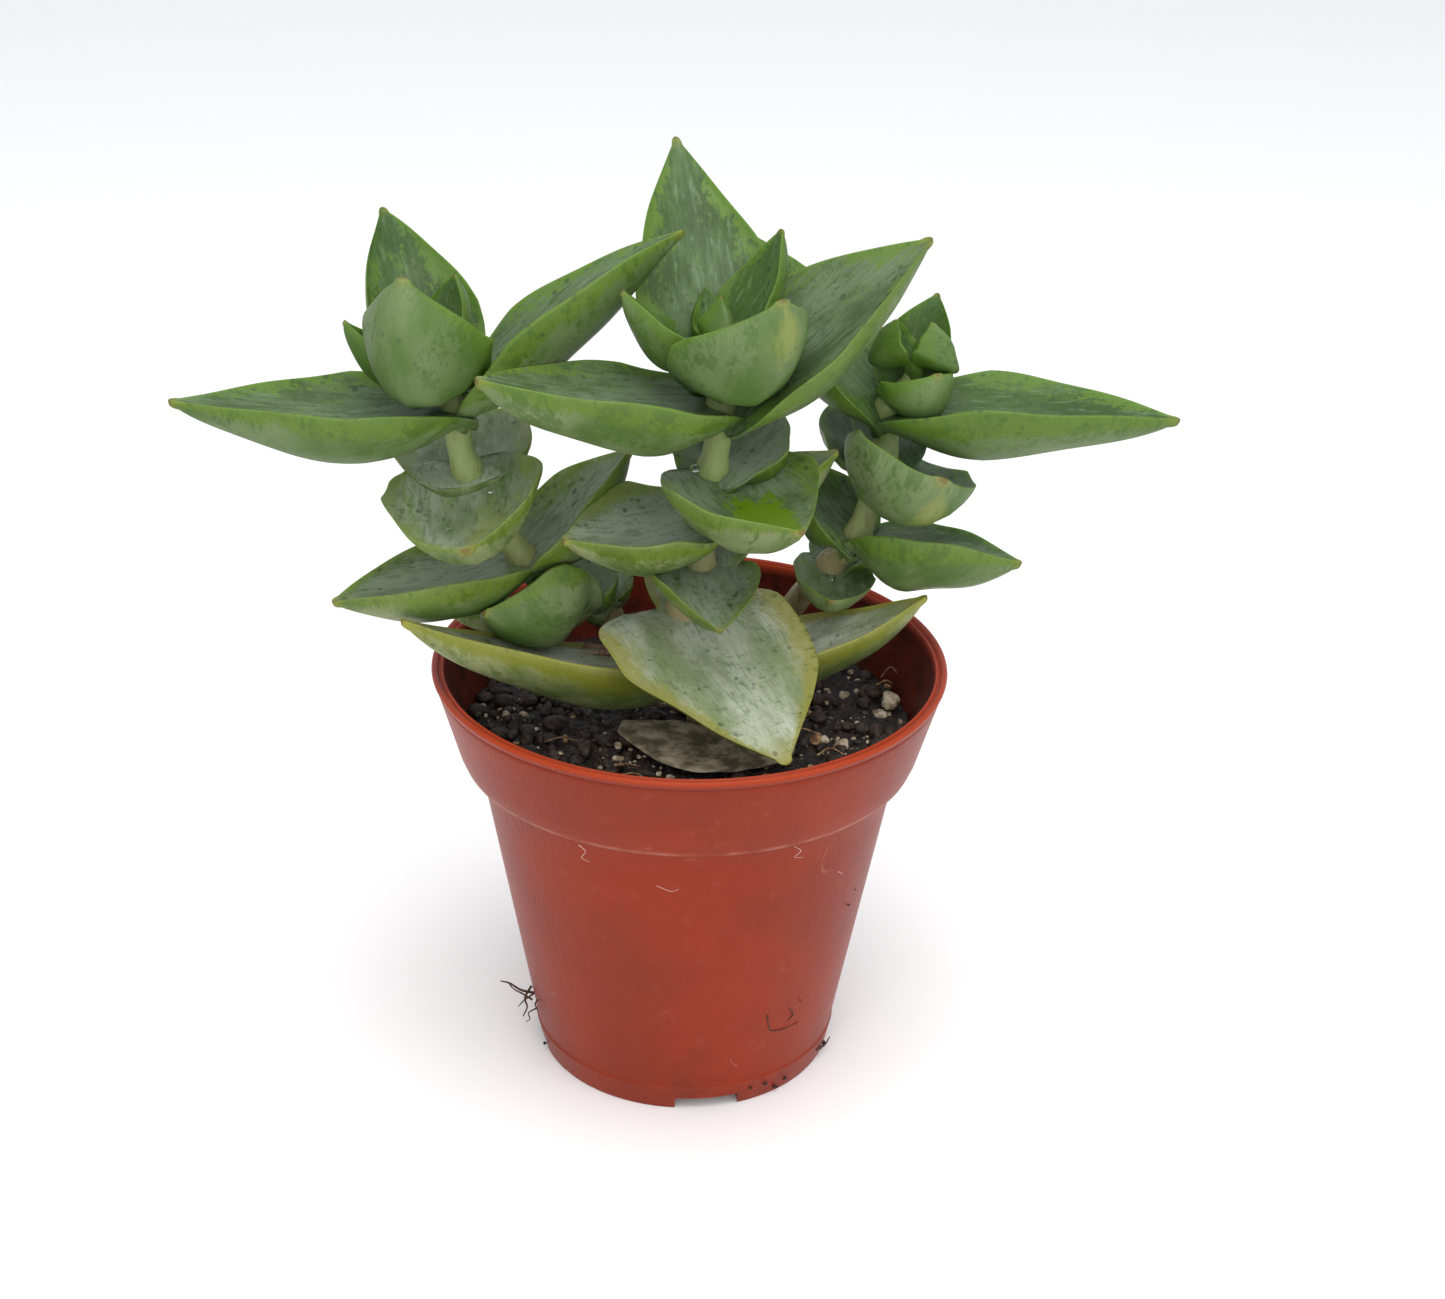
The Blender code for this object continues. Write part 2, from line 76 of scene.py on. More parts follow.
Colour = tuple[float, float, float, float]
Triple = tuple[float, float, float]
Socket = bpy.types.NodeSocket


class Slot(Enum):
    """Material slots of the record, paired with the loose pieces but not used to give them a finish."""

    POT = "pot_plastic"
    SOIL = "soil"
    LEAF = "leaf"
    DRY = "dry_leaf"


def linear(red: int, green: int, blue: int) -> Colour:
    """Turn an 8-bit display colour into a linear one.

    Args:
        red: Red, 0 to 255.
        green: Green, 0 to 255.
        blue: Blue, 0 to 255.

    Returns:
        Linear red, green, blue and an alpha of one.
    """
    shares = np.array([red, green, blue]) / 255.0
    low = shares / 12.92
    high = ((shares + 0.055) / 1.055) ** 2.4
    values = np.where(shares <= 0.04045, low, high)
    return (float(values[0]), float(values[1]), float(values[2]), 1.0)


@dataclass(frozen=True)
class Pattern:
    """A noise: its scale, detail and roughness, and how its vector is stretched first."""

    scale: float
    detail: float = 4.0
    roughness: float = 0.55
    stretch: Triple = (1.0, 1.0, 1.0)


class NodeBoard:
    """A thin helper that adds and wires shader nodes from left to right."""

    def __init__(self, tree: bpy.types.NodeTree) -> None:
        """Keep the node tree."""
        self.tree = tree
        self.count = 0

    def add(self, kind: str, **values: object) -> bpy.types.Node:
        """Add a node and set its attributes or its unlinked inputs.

        Args:
            kind: Blender's node type name.
            **values: Attribute values, or input values with spaces written as underscores.

        Returns:
            The new node.
        """
        node = self.tree.nodes.new(kind)
        node.location = (220.0 * (self.count % 8), -260.0 * (self.count // 8))
        self.count += 1
        for name, value in values.items():
            if hasattr(node, name):
                setattr(node, name, value)
            else:
                node.inputs[name.replace("_", " ")].default_value = value
        return node

    def link(self, source: Socket, target: Socket) -> None:
        """Wire one socket to another."""
        self.tree.links.new(source, target)

    def feed(self, target: Socket, value: object) -> None:
        """Wire a socket to an input, or set the input to a plain value.

        Args:
            target: The input.
            value: A socket or a plain value.
        """
        if isinstance(value, bpy.types.NodeSocket):
            self.link(value, target)
        else:
            target.default_value = value

    def attribute(self, name: str) -> Socket:
        """Return the factor of a mesh attribute."""
        return self.add("ShaderNodeAttribute", attribute_name=name).outputs["Fac"]

    def place(self) -> Socket:
        """Return the object coordinates."""
        return self.add("ShaderNodeTexCoord").outputs["Object"]

    def math(self, operation: str, *terms: object) -> Socket:
        """Wire a math node.

        Args:
            operation: Blender's math operation.
            *terms: Up to three sockets or numbers.

        Returns:
            The node's output.
        """
        node = self.add("ShaderNodeMath", operation=operation)
        for target, term in zip(node.inputs, terms):
            self.feed(target, term)
        return node.outputs[0]

    def times(self, first: object, second: object) -> Socket:
        """Multiply two values."""
        return self.math("MULTIPLY", first, second)

    def plus(self, first: object, second: object) -> Socket:
        """Add two values."""
        return self.math("ADD", first, second)

    def less(self, first: object, second: object) -> Socket:
        """Take the second value from the first."""
        return self.math("SUBTRACT", first, second)

    def rest(self, share: object) -> Socket:
        """Return what a share leaves of one."""
        return self.less(1.0, share)

    def capped(self, value: object, factor: float) -> Socket:
        """Scale a value and keep it at one or less."""
        return self.math("MINIMUM", self.times(value, factor), 1.0)

    def near(self, value: Socket, middle: float, reach: float) -> Socket:
        """Return one at a middle value, falling smoothly to zero at its reach on both sides."""
        away = self.math("ABSOLUTE", self.less(value, middle))
        return self.rest(self.ramp(away, 0.0, reach))

    def ramp(self, value: Socket, low: float, high: float) -> Socket:
        """Stretch a value so that low becomes zero and high becomes one, with a smooth step.

        Args:
            value: The value's socket.
            low: The value that becomes zero.
            high: The value that becomes one.

        Returns:
            The stretched value.
        """
        node = self.add("ShaderNodeMapRange", interpolation_type="SMOOTHSTEP")
        self.link(value, node.inputs["Value"])
        node.inputs["From Min"].default_value = low
        node.inputs["From Max"].default_value = high
        return node.outputs["Result"]

    def mix(self, share: object, first: object, second: object) -> Socket:
        """Blend two colours.

        Args:
            share: The second colour's share, as a socket or a number from zero to one.
            first: A socket or a colour.
            second: A socket or a colour.

        Returns:
            The mixed colour.
        """
        node = self.add("ShaderNodeMix", data_type="RGBA", blend_type="MIX")
        for index, value in ((0, share), (6, first), (7, second)):
            self.feed(node.inputs[index], value)
        return node.outputs[2]

    def stretched(self, vector: Socket, scale: Triple) -> Socket:
        """Scale a vector along its axes.

        Args:
            vector: The vector's socket.
            scale: A factor for each axis.

        Returns:
            The scaled vector.
        """
        node = self.add("ShaderNodeVectorMath", operation="MULTIPLY")
        self.link(vector, node.inputs[0])
        node.inputs[1].default_value = scale
        return node.outputs["Vector"]

    def noise(self, vector: Socket, pattern: Pattern) -> Socket:
        """Lay a noise over a vector.

        Args:
            vector: The coordinates.
            pattern: The noise's numbers.

        Returns:
            Its factor.
        """
        node = self.add("ShaderNodeTexNoise", Scale=pattern.scale, Detail=pattern.detail)
        node.inputs["Roughness"].default_value = pattern.roughness
        self.link(self.stretched(vector, pattern.stretch), node.inputs["Vector"])
        return node.outputs["Fac"]

    def share(self, group: bpy.types.NodeTree, vector: Socket, amount: Socket) -> Socket:
        """Lay a shared group over a vector.

        Args:
            group: The group.
            vector: The coordinates.
            amount: How much of it to keep.

        Returns:
            The share it makes.
        """
        node = self.add("ShaderNodeGroup", node_tree=group)
        self.link(vector, node.inputs["Vector"])
        self.link(amount, node.inputs["Amount"])
        return node.outputs["Share"]

    def dress(self, shader: bpy.types.Node, **values: object) -> None:
        """Set or wire a shader's inputs.

        Args:
            shader: The shader node.
            **values: Sockets or plain values, by input name with underscores for spaces.
        """
        for name, value in values.items():
            self.feed(shader.inputs[name.replace("_", " ")], value)

    def bump(self, shader: bpy.types.Node, height: Socket, strength: float, distance: float) -> None:
        """Raise a shader's surface by a height.

        Args:
            shader: The shader node.
            height: The height's socket.
            strength: Share of the full effect.
            distance: Height in metres where the socket says one.
        """
        node = self.add("ShaderNodeBump", Strength=strength, Distance=distance)
        self.link(height, node.inputs["Height"])
        self.link(node.outputs["Normal"], shader.inputs["Normal"])


def new_material(name: str) -> tuple[bpy.types.Material, NodeBoard, bpy.types.Node]:
    """Start a material.

    Args:
        name: The material's name.

    Returns:
        The material, a board to build it on, and its shader.
    """
    made = bpy.data.materials.new(name)
    made.use_nodes = True
    return made, NodeBoard(made.node_tree), made.node_tree.nodes["Principled BSDF"]


def share_group(name: str) -> tuple[NodeBoard, bpy.types.Node, bpy.types.Node]:
    """Start a shader node group from a vector and an amount to a share.

    Args:
        name: The group's name.

    Returns:
        A board to build it on, and its input and output nodes.
    """
    tree = bpy.data.node_groups.new(name, "ShaderNodeTree")
    tree.interface.new_socket("Vector", in_out="INPUT", socket_type="NodeSocketVector")
    tree.interface.new_socket("Amount", in_out="INPUT", socket_type="NodeSocketFloat")
    tree.interface.new_socket("Share", in_out="OUTPUT", socket_type="NodeSocketFloat")
    board = NodeBoard(tree)
    return board, board.add("NodeGroupInput"), board.add("NodeGroupOutput")


def speckle_group() -> bpy.types.NodeTree:
    """Fine dark points and short streaks, as bloom that has rubbed off a leaf in crumbs.

    Returns:
        A group from a vector and an amount to a share of dark points.
    """
    board, inside, outside = share_group("speckles")
    vector = inside.outputs["Vector"]
    points = board.add("ShaderNodeTexVoronoi", Scale=900.0, Randomness=1.0)
    board.link(vector, points.inputs["Vector"])
    size = board.math("MULTIPLY_ADD", board.noise(vector, Pattern(700.0, 2.0, 0.5)), 0.9, -0.22)
    dots = board.ramp(board.less(size, points.outputs["Distance"]), -0.10, 0.10)
    patches = board.ramp(board.noise(vector, Pattern(260.0, 5.0, 0.6)), 0.43, 0.64)
    streaks = board.noise(vector, Pattern(1500.0, 3.0, 0.6, (0.35, 1.6, 1.6)))
    lines = board.times(board.ramp(streaks, 0.58, 0.72), patches)
    both = board.math("MAXIMUM", board.times(dots, patches), lines)
    board.link(board.times(both, inside.outputs["Amount"]), outside.inputs["Share"])
    return board.tree


def scuff_group() -> bpy.types.NodeTree:
    """Pale hairline scratches and dusty smears on moulded plastic.

    The scratches are the edges of bent cells, kept only in a few patches.

    Returns:
        A group from a vector and an amount to a share of pale marks.
    """
    board, inside, outside = share_group("scuffs")
    vector = inside.outputs["Vector"]
    drift = board.add("ShaderNodeTexNoise", Scale=70.0, Detail=2.0)
    board.link(vector, drift.inputs["Vector"])
    bent = board.add("ShaderNodeVectorMath", operation="MULTIPLY_ADD")
    board.link(drift.outputs["Color"], bent.inputs[0])
    bent.inputs[1].default_value = (0.02, 0.02, 0.008)
    board.link(vector, bent.inputs[2])
    cells = board.add("ShaderNodeTexVoronoi", feature="DISTANCE_TO_EDGE", Scale=85.0)
    board.link(bent.outputs["Vector"], cells.inputs["Vector"])
    hairs = board.rest(board.ramp(cells.outputs["Distance"], 0.004, 0.016))
    where = board.ramp(board.noise(vector, Pattern(150.0, 3.0, 0.6)), 0.60, 0.68)
    smears = board.times(board.ramp(board.noise(vector, Pattern(420.0, 6.0, 0.7)), 0.56, 0.78), 0.35)
    both = board.math("MAXIMUM", board.times(hairs, where), smears)
    board.link(board.times(both, inside.outputs["Amount"]), outside.inputs["Share"])
    return board.tree


@dataclass(frozen=True)
class Blade:
    """What a leaf's skin is painted from: its mesh attributes and the noises over it, as sockets."""

    place: Socket
    under: Socket
    edge: Socket
    along: Socket
    age: Socket
    youth: Socket
    band: Socket
    wet: Socket
    stain: Socket
    broad: Socket
    patch: Socket
    strokes: Socket
    cracks: Socket
    ragged: Socket
    fine: Socket


@dataclass(frozen=True)
class LeafFinish:
    """The waxy skin of the leaves: bloom above, pale keel below, bright margin, yellow when old. Old leaves'
    bloom and keel turn paler, partly their own greying and partly painted light that lifts the shaded lower
    whorls.

    All noises but the finest run over the blade's own length and width in millimetres.
    """

    name: str = "waxy_leaf_skin"
    bloom: Colour = linear(77, 102, 62)
    bloom_dark: Colour = linear(44, 71, 25)
    bloom_pale: Colour = linear(103, 126, 95)
    # Old leaves' paler bloom: partly their own greying wax, partly painted light lifting the shaded lower
    # whorls.
    old_bloom_and_painted_light: Colour = linear(182, 188, 170)
    worn_bloom_and_painted_light: Colour = linear(126, 138, 104)
    rubbed: Colour = linear(88, 119, 34)
    bruised: Colour = linear(56, 88, 24)
    margin: Colour = linear(88, 114, 32)
    keel: Colour = linear(99, 117, 76)
    # Old leaves' paler keel: partly their own greying, partly painted light lifting the shaded lower whorls.
    old_keel_and_painted_light: Colour = linear(132, 140, 96)
    keel_dark: Colour = linear(70, 98, 38)
    aged: Colour = linear(138, 132, 44)
    fresh: Colour = linear(80, 113, 36)
    tip: Colour = linear(140, 138, 46)
    tip_dot: Colour = linear(96, 56, 26)
    speck: Colour = linear(40, 60, 32)
    soaked: Colour = linear(92, 124, 6)
    stain: Colour = linear(140, 144, 62)
    roughness: float = 0.44
    broad_noise: Pattern = Pattern(0.13, 4.0, 0.6, (0.6, 1.0, 1.0))
    patch_noise: Pattern = Pattern(0.42, 9.0, 0.72, (0.45, 1.0, 1.0))
    stroke_noise: Pattern = Pattern(1.5, 5.0, 0.62, (0.22, 1.3, 1.0))
    crumb_noise: Pattern = Pattern(2.6, 4.0, 0.7, (0.6, 1.0, 1.0))
    crack_noise: Pattern = Pattern(1.3, 5.0, 0.7, (1.6, 0.35, 1.0))
    fine_noise: Pattern = Pattern(900.0, 4.0, 0.6)

    def read(self, board: NodeBoard) -> Blade:
        """Read the blade's attributes and lay the noises over it.

        Ragged is the patches' outline broken up by crumbs, with both noises counted from their middle.

        Args:
            board: The material's board.

        Returns:
            The sockets to paint from.
        """
        names = ("under", "edge", "along", "age", "youth", "band", "wet", "stain")
        values = {name: board.attribute(name) for name in names}
        spread = board.add("ShaderNodeCombineXYZ")
        for target, name in zip(spread.inputs, ("run", "side", "seed")):
            board.link(board.attribute(name), target)
        over = spread.outputs["Vector"]
        place = board.place()
        patch = board.noise(over, self.patch_noise)
        crumbs = board.noise(over, self.crumb_noise)
        outline = board.times(board.less(patch, 0.5), 1.5)
        return Blade(
            place=place,
            broad=board.noise(over, self.broad_noise),
            patch=patch,
            strokes=board.noise(over, self.stroke_noise),
            cracks=board.noise(over, self.crack_noise),
            ragged=board.plus(outline, board.times(board.less(crumbs, 0.5), 0.9)),
            fine=board.noise(place, self.fine_noise),
            **values,
        )

    def above(self, board: NodeBoard, blade: Blade) -> Socket:
        """Paint the top: bloom in broad patches and strokes, paler with age, cracked by age, rubbed off near
        the margin. The paling is partly the old bloom's own and partly painted light on the shaded lower
        whorls.

        Args:
            board: The material's board.
            blade: The sockets to paint from.

        Returns:
            The top's colour.
        """
        younger = board.rest(board.times(blade.age, 0.85))
        # Age pales the bloom, partly the old leaves' own greying and partly painted light on the shaded lower
        # whorls.
        bloom = board.mix(board.capped(blade.age, 1.25), self.bloom, self.old_bloom_and_painted_light)
        dark = board.mix(board.capped(blade.age, 1.3), self.bloom_dark, self.worn_bloom_and_painted_light)
        skin = board.mix(board.ramp(blade.broad, 0.36, 0.60), dark, bloom)
        strokes = board.times(board.ramp(blade.strokes, 0.50, 0.64), board.times(younger, 0.6))
        skin = board.mix(strokes, skin, self.bloom_dark)
        cracks = board.times(board.ramp(blade.cracks, 0.56, 0.66), board.times(blade.age, 0.55))
        skin = board.mix(cracks, skin, self.bloom_dark)
        lit = board.times(board.rest(board.ramp(blade.strokes, 0.34, 0.46)), 0.7)
        skin = board.mix(lit, skin, self.bloom_pale)
        bruises = board.rest(board.ramp(blade.ragged, -0.24, -0.10))
        skin = board.mix(board.times(bruises, board.times(younger, 0.75)), skin, self.bruised)
        worn = board.plus(blade.ragged, board.times(board.ramp(blade.edge, 0.05, 0.9), 0.26))
        share = board.times(board.ramp(worn, 0.16, 0.26), board.less(0.85, board.times(blade.age, 0.75)))
        return board.mix(share, skin, self.rubbed)

    def below(self, board: NodeBoard, blade: Blade) -> Socket:
        """Paint the underside: a pale keel, paler with age, with strokes and bruises, and a ragged bright
        margin. The keel's paling with age is partly its own and partly painted light on the shaded lower
        whorls.

        Args:
            board: The material's board.
            blade: The sockets to paint from.

        Returns:
            The underside's colour.
        """
        # Age pales the keel, partly its own greying and partly painted light on the shaded lower whorls.
        keel = board.mix(board.capped(blade.age, 2.6), self.keel, self.old_keel_and_painted_light)
        skin = board.mix(board.ramp(blade.broad, 0.40, 0.64), keel, self.keel_dark)
        band = board.times(board.plus(board.ramp(blade.edge, 0.35, 0.95), blade.ragged), blade.band)
        skin = board.mix(board.ramp(band, 0.36, 0.74), skin, self.margin)
        skin = board.mix(board.times(board.ramp(blade.strokes, 0.52, 0.68), 0.35), skin, self.keel_dark)
        mottle = board.times(board.ramp(blade.ragged, 0.02, 0.13), board.ramp(blade.edge, 0.02, 0.4))
        return board.mix(board.times(mottle, 0.62), skin, self.bruised)

    def grown(self, board: NodeBoard, blade: Blade, skin: Socket) -> Socket:
        """Brighten the rim, freshen young leaves, and turn the rim and tip of old ones yellow.

        Args:
            board: The material's board.
            blade: The sockets to paint from.
            skin: The colour so far.

        Returns:
            The colour with its age.
        """
        skin = board.mix(board.times(board.ramp(blade.edge, 0.90, 0.99), 0.55), skin, self.margin)
        fresh = board.times(blade.youth, board.plus(0.25, board.times(blade.edge, 0.5)))
        skin = board.mix(fresh, skin, self.fresh)
        uneven = board.plus(blade.edge, board.times(blade.ragged, 0.5))
        rim = board.times(board.ramp(uneven, 0.42, 0.80), 0.80)
        tip = board.times(board.ramp(blade.along, 0.80, 0.97), 0.65)
        yellow = board.plus(board.math("MAXIMUM", rim, tip), 0.08)
        yellow = board.times(yellow, board.rest(board.times(blade.under, 0.4)))
        yellow = board.times(yellow, board.capped(board.math("POWER", blade.age, 1.6), 1.3))
        return board.mix(board.math("MINIMUM", yellow, 0.9), skin, self.aged)

    def marked(self, board: NodeBoard, blade: Blade, skin: Socket, soaked: Socket,
               speckles: bpy.types.NodeTree) -> Socket:
        """Add wet patches, stains, specks and the dry tip.

        Args:
            board: The material's board.
            blade: The sockets to paint from.
            skin: The colour so far.
            soaked: The share of wet patches.
            speckles: The shared speckle group.

        Returns:
            The finished colour.
        """
        skin = board.mix(board.times(soaked, 0.92), skin, self.soaked)
        stained = board.ramp(board.plus(blade.stain, blade.ragged), 0.15, 0.75)
        stained = board.times(stained, board.ramp(blade.stain, 0.0, 0.2))
        skin = board.mix(board.times(stained, 0.5), skin, self.stain)
        amount = board.less(0.72, board.times(blade.under, 0.34))
        skin = board.mix(board.share(speckles, blade.place, amount), skin, self.speck)
        dry = board.plus(0.3, board.times(blade.age, 0.6))
        skin = board.mix(board.times(board.ramp(blade.along, 0.93, 0.995), dry), skin, self.tip)
        return board.mix(board.times(board.ramp(blade.along, 0.985, 0.998), 0.6), skin, self.tip_dot)

    def build(self, speckles: bpy.types.NodeTree) -> bpy.types.Material:
        """Build the material.

        Args:
            speckles: The shared speckle group.

        Returns:
            The leaf material.
        """
        made, board, shader = new_material(self.name)
        blade = self.read(board)
        skin = board.mix(blade.under, self.above(board, blade), self.below(board, blade))
        skin = self.grown(board, blade, skin)
        soaked = board.ramp(board.plus(blade.wet, blade.ragged), 0.22, 0.34)
        soaked = board.times(soaked, board.ramp(blade.wet, 0.0, 0.12))
        skin = self.marked(board, blade, skin, soaked, speckles)
        gloss = board.times(board.ramp(blade.ragged, 0.0, 0.25), -0.14)
        gloss = board.plus(gloss, board.times(soaked, -0.2))
        dull = board.plus(board.times(blade.fine, 0.2), board.plus(gloss, self.roughness))
        board.dress(
            shader, Base_Color=skin, Roughness=dull, Subsurface_Weight=0.12,
            Subsurface_Radius=(0.5, 1.0, 0.25), Subsurface_Scale=0.0016, Specular_IOR_Level=0.36,
        )
        height = board.plus(board.times(blade.patch, 0.8), board.times(blade.fine, 0.25))
        board.bump(shader, height, 0.35, 0.0003)
        return made


@dataclass(frozen=True)
class StalkFinish:
    """The stalks: pale yellow-green between young leaves, tan and scaly low down."""

    name: str = "stalk_skin"
    young: Colour = linear(136, 150, 92)
    old: Colour = linear(150, 138, 100)
    scale: Colour = linear(100, 86, 58)
    grain: Pattern = Pattern(600.0, 5.0, 0.6, (2.5, 2.5, 0.7))

    def build(self) -> bpy.types.Material:
        """Build the material from the stalk's own height attribute.

        Returns:
            The stalk's material.
        """
        made, board, shader = new_material(self.name)
        along = board.attribute("along")
        grain = board.noise(board.place(), self.grain)
        colour = board.mix(board.ramp(along, 0.34, 0.60), self.old, self.young)
        marks = board.times(board.ramp(grain, 0.52, 0.7), board.rest(along))
        colour = board.mix(marks, colour, self.scale)
        board.dress(shader, Base_Color=colour, Roughness=0.55, Subsurface_Weight=0.1, Subsurface_Scale=0.001)
        board.bump(shader, grain, 0.5, 0.0003)
        return made


@dataclass(frozen=True)
class PotFinish:
    """Orange-brown moulded plastic with dust, hairline scratches and a dirtier foot, with painted shade on
    the inside wall and a painted highlight along the lip.

    Heights are in metres. The collar's wall radius is its slope times the height, plus its offset.
    """

    name: str = "terracotta_plastic"
    body: Colour = linear(136, 43, 15)
    shade: Colour = linear(124, 40, 18)
    # painted shade: the dark colour laid on the inside wall
    inner_painted_shade: Colour = linear(54, 18, 10)
    # painted highlight: the lighter colour of the line along the lip's bead
    lip: Colour = linear(158, 54, 20)
    dust: Colour = linear(176, 120, 100)
    dirt: Colour = linear(78, 36, 26)
    sheen: Colour = linear(215, 200, 215)
    roughness: float = 0.4
    wall_slope: float = 0.2843
    wall_offset: float = 0.01414
    dirt_height: float = 0.016
    shoulder: float = 0.0375
    mouth: float = 0.0466
    seam: float = 0.0371
    scuffed: float = 0.0362

    def inside(self, board: NodeBoard, place: Socket, rise: Socket) -> Socket:
        """Return one on the wall's inside above the shoulder and below the lip, and zero elsewhere; the
        inside's painted shade is laid where it is one.

        Args:
            board: The material's board.
            place: The object coordinates.
            rise: Their height.

        Returns:
            The share.
        """
        flat = board.add("ShaderNodeVectorMath", operation="LENGTH")
        board.link(board.stretched(place, (1.0, 1.0, 0.0)), flat.inputs[0])
        wall = board.math("MULTIPLY_ADD", rise, self.wall_slope, self.wall_offset)
        depth = board.less(wall, flat.outputs["Value"])
        high = board.ramp(rise, self.shoulder, self.shoulder + 0.0004)
        share = board.times(board.ramp(depth, 0.0004, 0.0007), high)
        return board.times(share, board.rest(board.ramp(rise, self.mouth - 0.0011, self.mouth)))

    def build(self, scuffs: bpy.types.NodeTree) -> bpy.types.Material:
        """Build the material.

        Args:
            scuffs: The shared scuff group.

        Returns:
            The pot's material.
        """
        made, board, shader = new_material(self.name)
        place = board.place()
        height = board.add("ShaderNodeSeparateXYZ")
        board.link(place, height.inputs[0])
        rise = height.outputs["Z"]
        broad = board.noise(place, Pattern(60.0))
        colour = board.mix(board.ramp(broad, 0.35, 0.65), self.shade, self.body)
        grain = board.noise(place, Pattern(2600.0, 2.0, 0.5, (1.0, 1.0, 0.12)))
        colour = board.mix(board.times(grain, 0.10), colour, self.shade)
        low = board.rest(board.ramp(rise, 0.0, self.dirt_height))
        soiled = board.times(low, board.ramp(board.noise(place, Pattern(190.0, 5.0, 0.6)), 0.5, 0.75))
        colour = board.mix(board.times(soiled, 0.5), colour, self.dirt)
        inside = self.inside(board, place, rise)
        # Painted shade on the inside wall, deeper in some noise patches than in others.
        painted_shade_noise = board.ramp(board.noise(place, Pattern(300.0, 5.0, 0.65)), 0.4, 0.7)
        painted_shade_share = board.plus(0.62, board.times(painted_shade_noise, 0.38))
        colour = board.mix(board.times(inside, painted_shade_share), colour, self.inner_painted_shade)
        # Painted highlight: a lighter line along the lip's bead, kept off the inside's painted shade.
        lip = board.times(board.ramp(rise, self.mouth - 0.0004, self.mouth + 0.0001), board.less(0.8, inside))
        colour = board.mix(lip, colour, self.lip)
        rubbed = board.ramp(board.noise(place, Pattern(240.0, 3.0, 0.6)), 0.35, 0.65)
        worn = board.times(board.near(rise, self.seam, 0.0004), rubbed)
        colour = board.mix(board.times(worn, 0.45), colour, self.dust)
        amount = board.plus(0.35, board.times(board.near(rise, self.scuffed, 0.0028), 0.6))
        marks = board.share(scuffs, place, amount)
        colour = board.mix(marks, colour, self.dust)
        dull = board.plus(self.roughness, board.times(marks, 0.4))
        board.dress(
            shader, Base_Color=colour, Roughness=dull, Specular_IOR_Level=0.18,
            Sheen_Weight=0.035, Sheen_Roughness=0.4, Sheen_Tint=self.sheen,
        )
        board.bump(shader, board.plus(grain, board.times(broad, 2.0)), 0.25, 0.0002)
        return made


@dataclass(frozen=True)
class EarthFinish:
    """Damp peaty soil, with a glint of water and paler crumbs."""

    name: str = "peaty_soil"
    dark: Colour = linear(20, 14, 12)
    brown: Colour = linear(50, 36, 28)
    pale: Colour = linear(142, 120, 96)
    coarse_noise: Pattern = Pattern(420.0, 6.0, 0.65)
    fine_noise: Pattern = Pattern(1700.0, 4.0, 0.6)

    def build(self) -> bpy.types.Material:
        """Build the material.

        Returns:
            The soil's material.
        """
        made, board, shader = new_material(self.name)
        place = board.place()
        coarse = board.noise(place, self.coarse_noise)
        fine = board.noise(place, self.fine_noise)
        colour = board.mix(board.ramp(coarse, 0.42, 0.66), self.dark, self.brown)
        colour = board.mix(board.times(board.ramp(fine, 0.60, 0.68), 0.7), colour, self.pale)
        board.dress(shader, Base_Color=colour, Roughness=board.plus(0.12, board.times(coarse, 0.9)))
        board.bump(shader, board.plus(coarse, fine), 1.0, 0.0006)
        return made


@dataclass(frozen=True)
class PlainFinish:
    """A small finish of two mottled colours for crumbs, bark, threads and the withered leaf."""

    name: str
    light: Colour
    dark: Colour
    scale: float = 900.0
    roughness: float = 0.8
    bump: float = 0.6
    stretch: Triple = (1.0, 1.0, 1.0)

    def build(self) -> bpy.types.Material:
        """Build the material.

        Returns:
            The material.
        """
        made, board, shader = new_material(self.name)
        mottle = board.noise(board.place(), Pattern(self.scale, 5.0, 0.65, self.stretch))
        colour = board.mix(board.ramp(mottle, 0.38, 0.64), self.dark, self.light)
        board.dress(shader, Base_Color=colour, Roughness=self.roughness)
        board.bump(shader, mottle, self.bump, 0.0004)
        return made


@dataclass(frozen=True)
class WaterFinish:
    """Clear water: drops left on the leaves."""

    name: str = "water"
    tint: Colour = (0.95, 1.0, 0.95, 1.0)
    roughness: float = 0.03
    refraction: float = 1.33

    def build(self) -> bpy.types.Material:
        """Build the material.

        Returns:
            The water.
        """
        made, board, shader = new_material(self.name)
        board.dress(
            shader, Base_Color=self.tint, Roughness=self.roughness,
            Transmission_Weight=1.0, IOR=self.refraction,
        )
        return made


class Palette:
    """Every material, built once and shared by the pieces."""

    def __init__(self) -> None:
        """Build the materials."""
        speckles = speckle_group()
        scuffs = scuff_group()
        self.leaf = LeafFinish().build(speckles)
        self.stalk = StalkFinish().build()
        self.pot = PotFinish().build(scuffs)
        self.soil = EarthFinish().build()
        self.withered = PlainFinish(
            "withered_leaf", linear(172, 160, 134), linear(92, 84, 64), 430.0, 0.5, 0.9, (0.9, 1.1, 1.0)
        ).build()
        self.perlite = PlainFinish("perlite", linear(204, 192, 168), linear(140, 116, 90), 1100.0).build()
        self.bark = PlainFinish("bark_crumb", linear(176, 142, 98), linear(94, 64, 40), 1200.0).build()
        self.crumb = PlainFinish("peat_crumb", linear(66, 46, 34), linear(16, 11, 9), 1500.0, 0.55).build()
        self.thread = PlainFinish("root_thread", linear(92, 58, 44), linear(44, 26, 20), 1500.0).build()
        self.lint = PlainFinish("lint", linear(226, 200, 190), linear(200, 160, 148), 1500.0).build()
        self.bract = PlainFinish("dry_bract", linear(176, 142, 124), linear(122, 88, 74), 900.0).build()
        self.dirt = PlainFinish("foot_dirt", linear(58, 34, 26), linear(26, 18, 14), 1500.0).build()
        self.water = WaterFinish().build()
        log.info("built the materials")


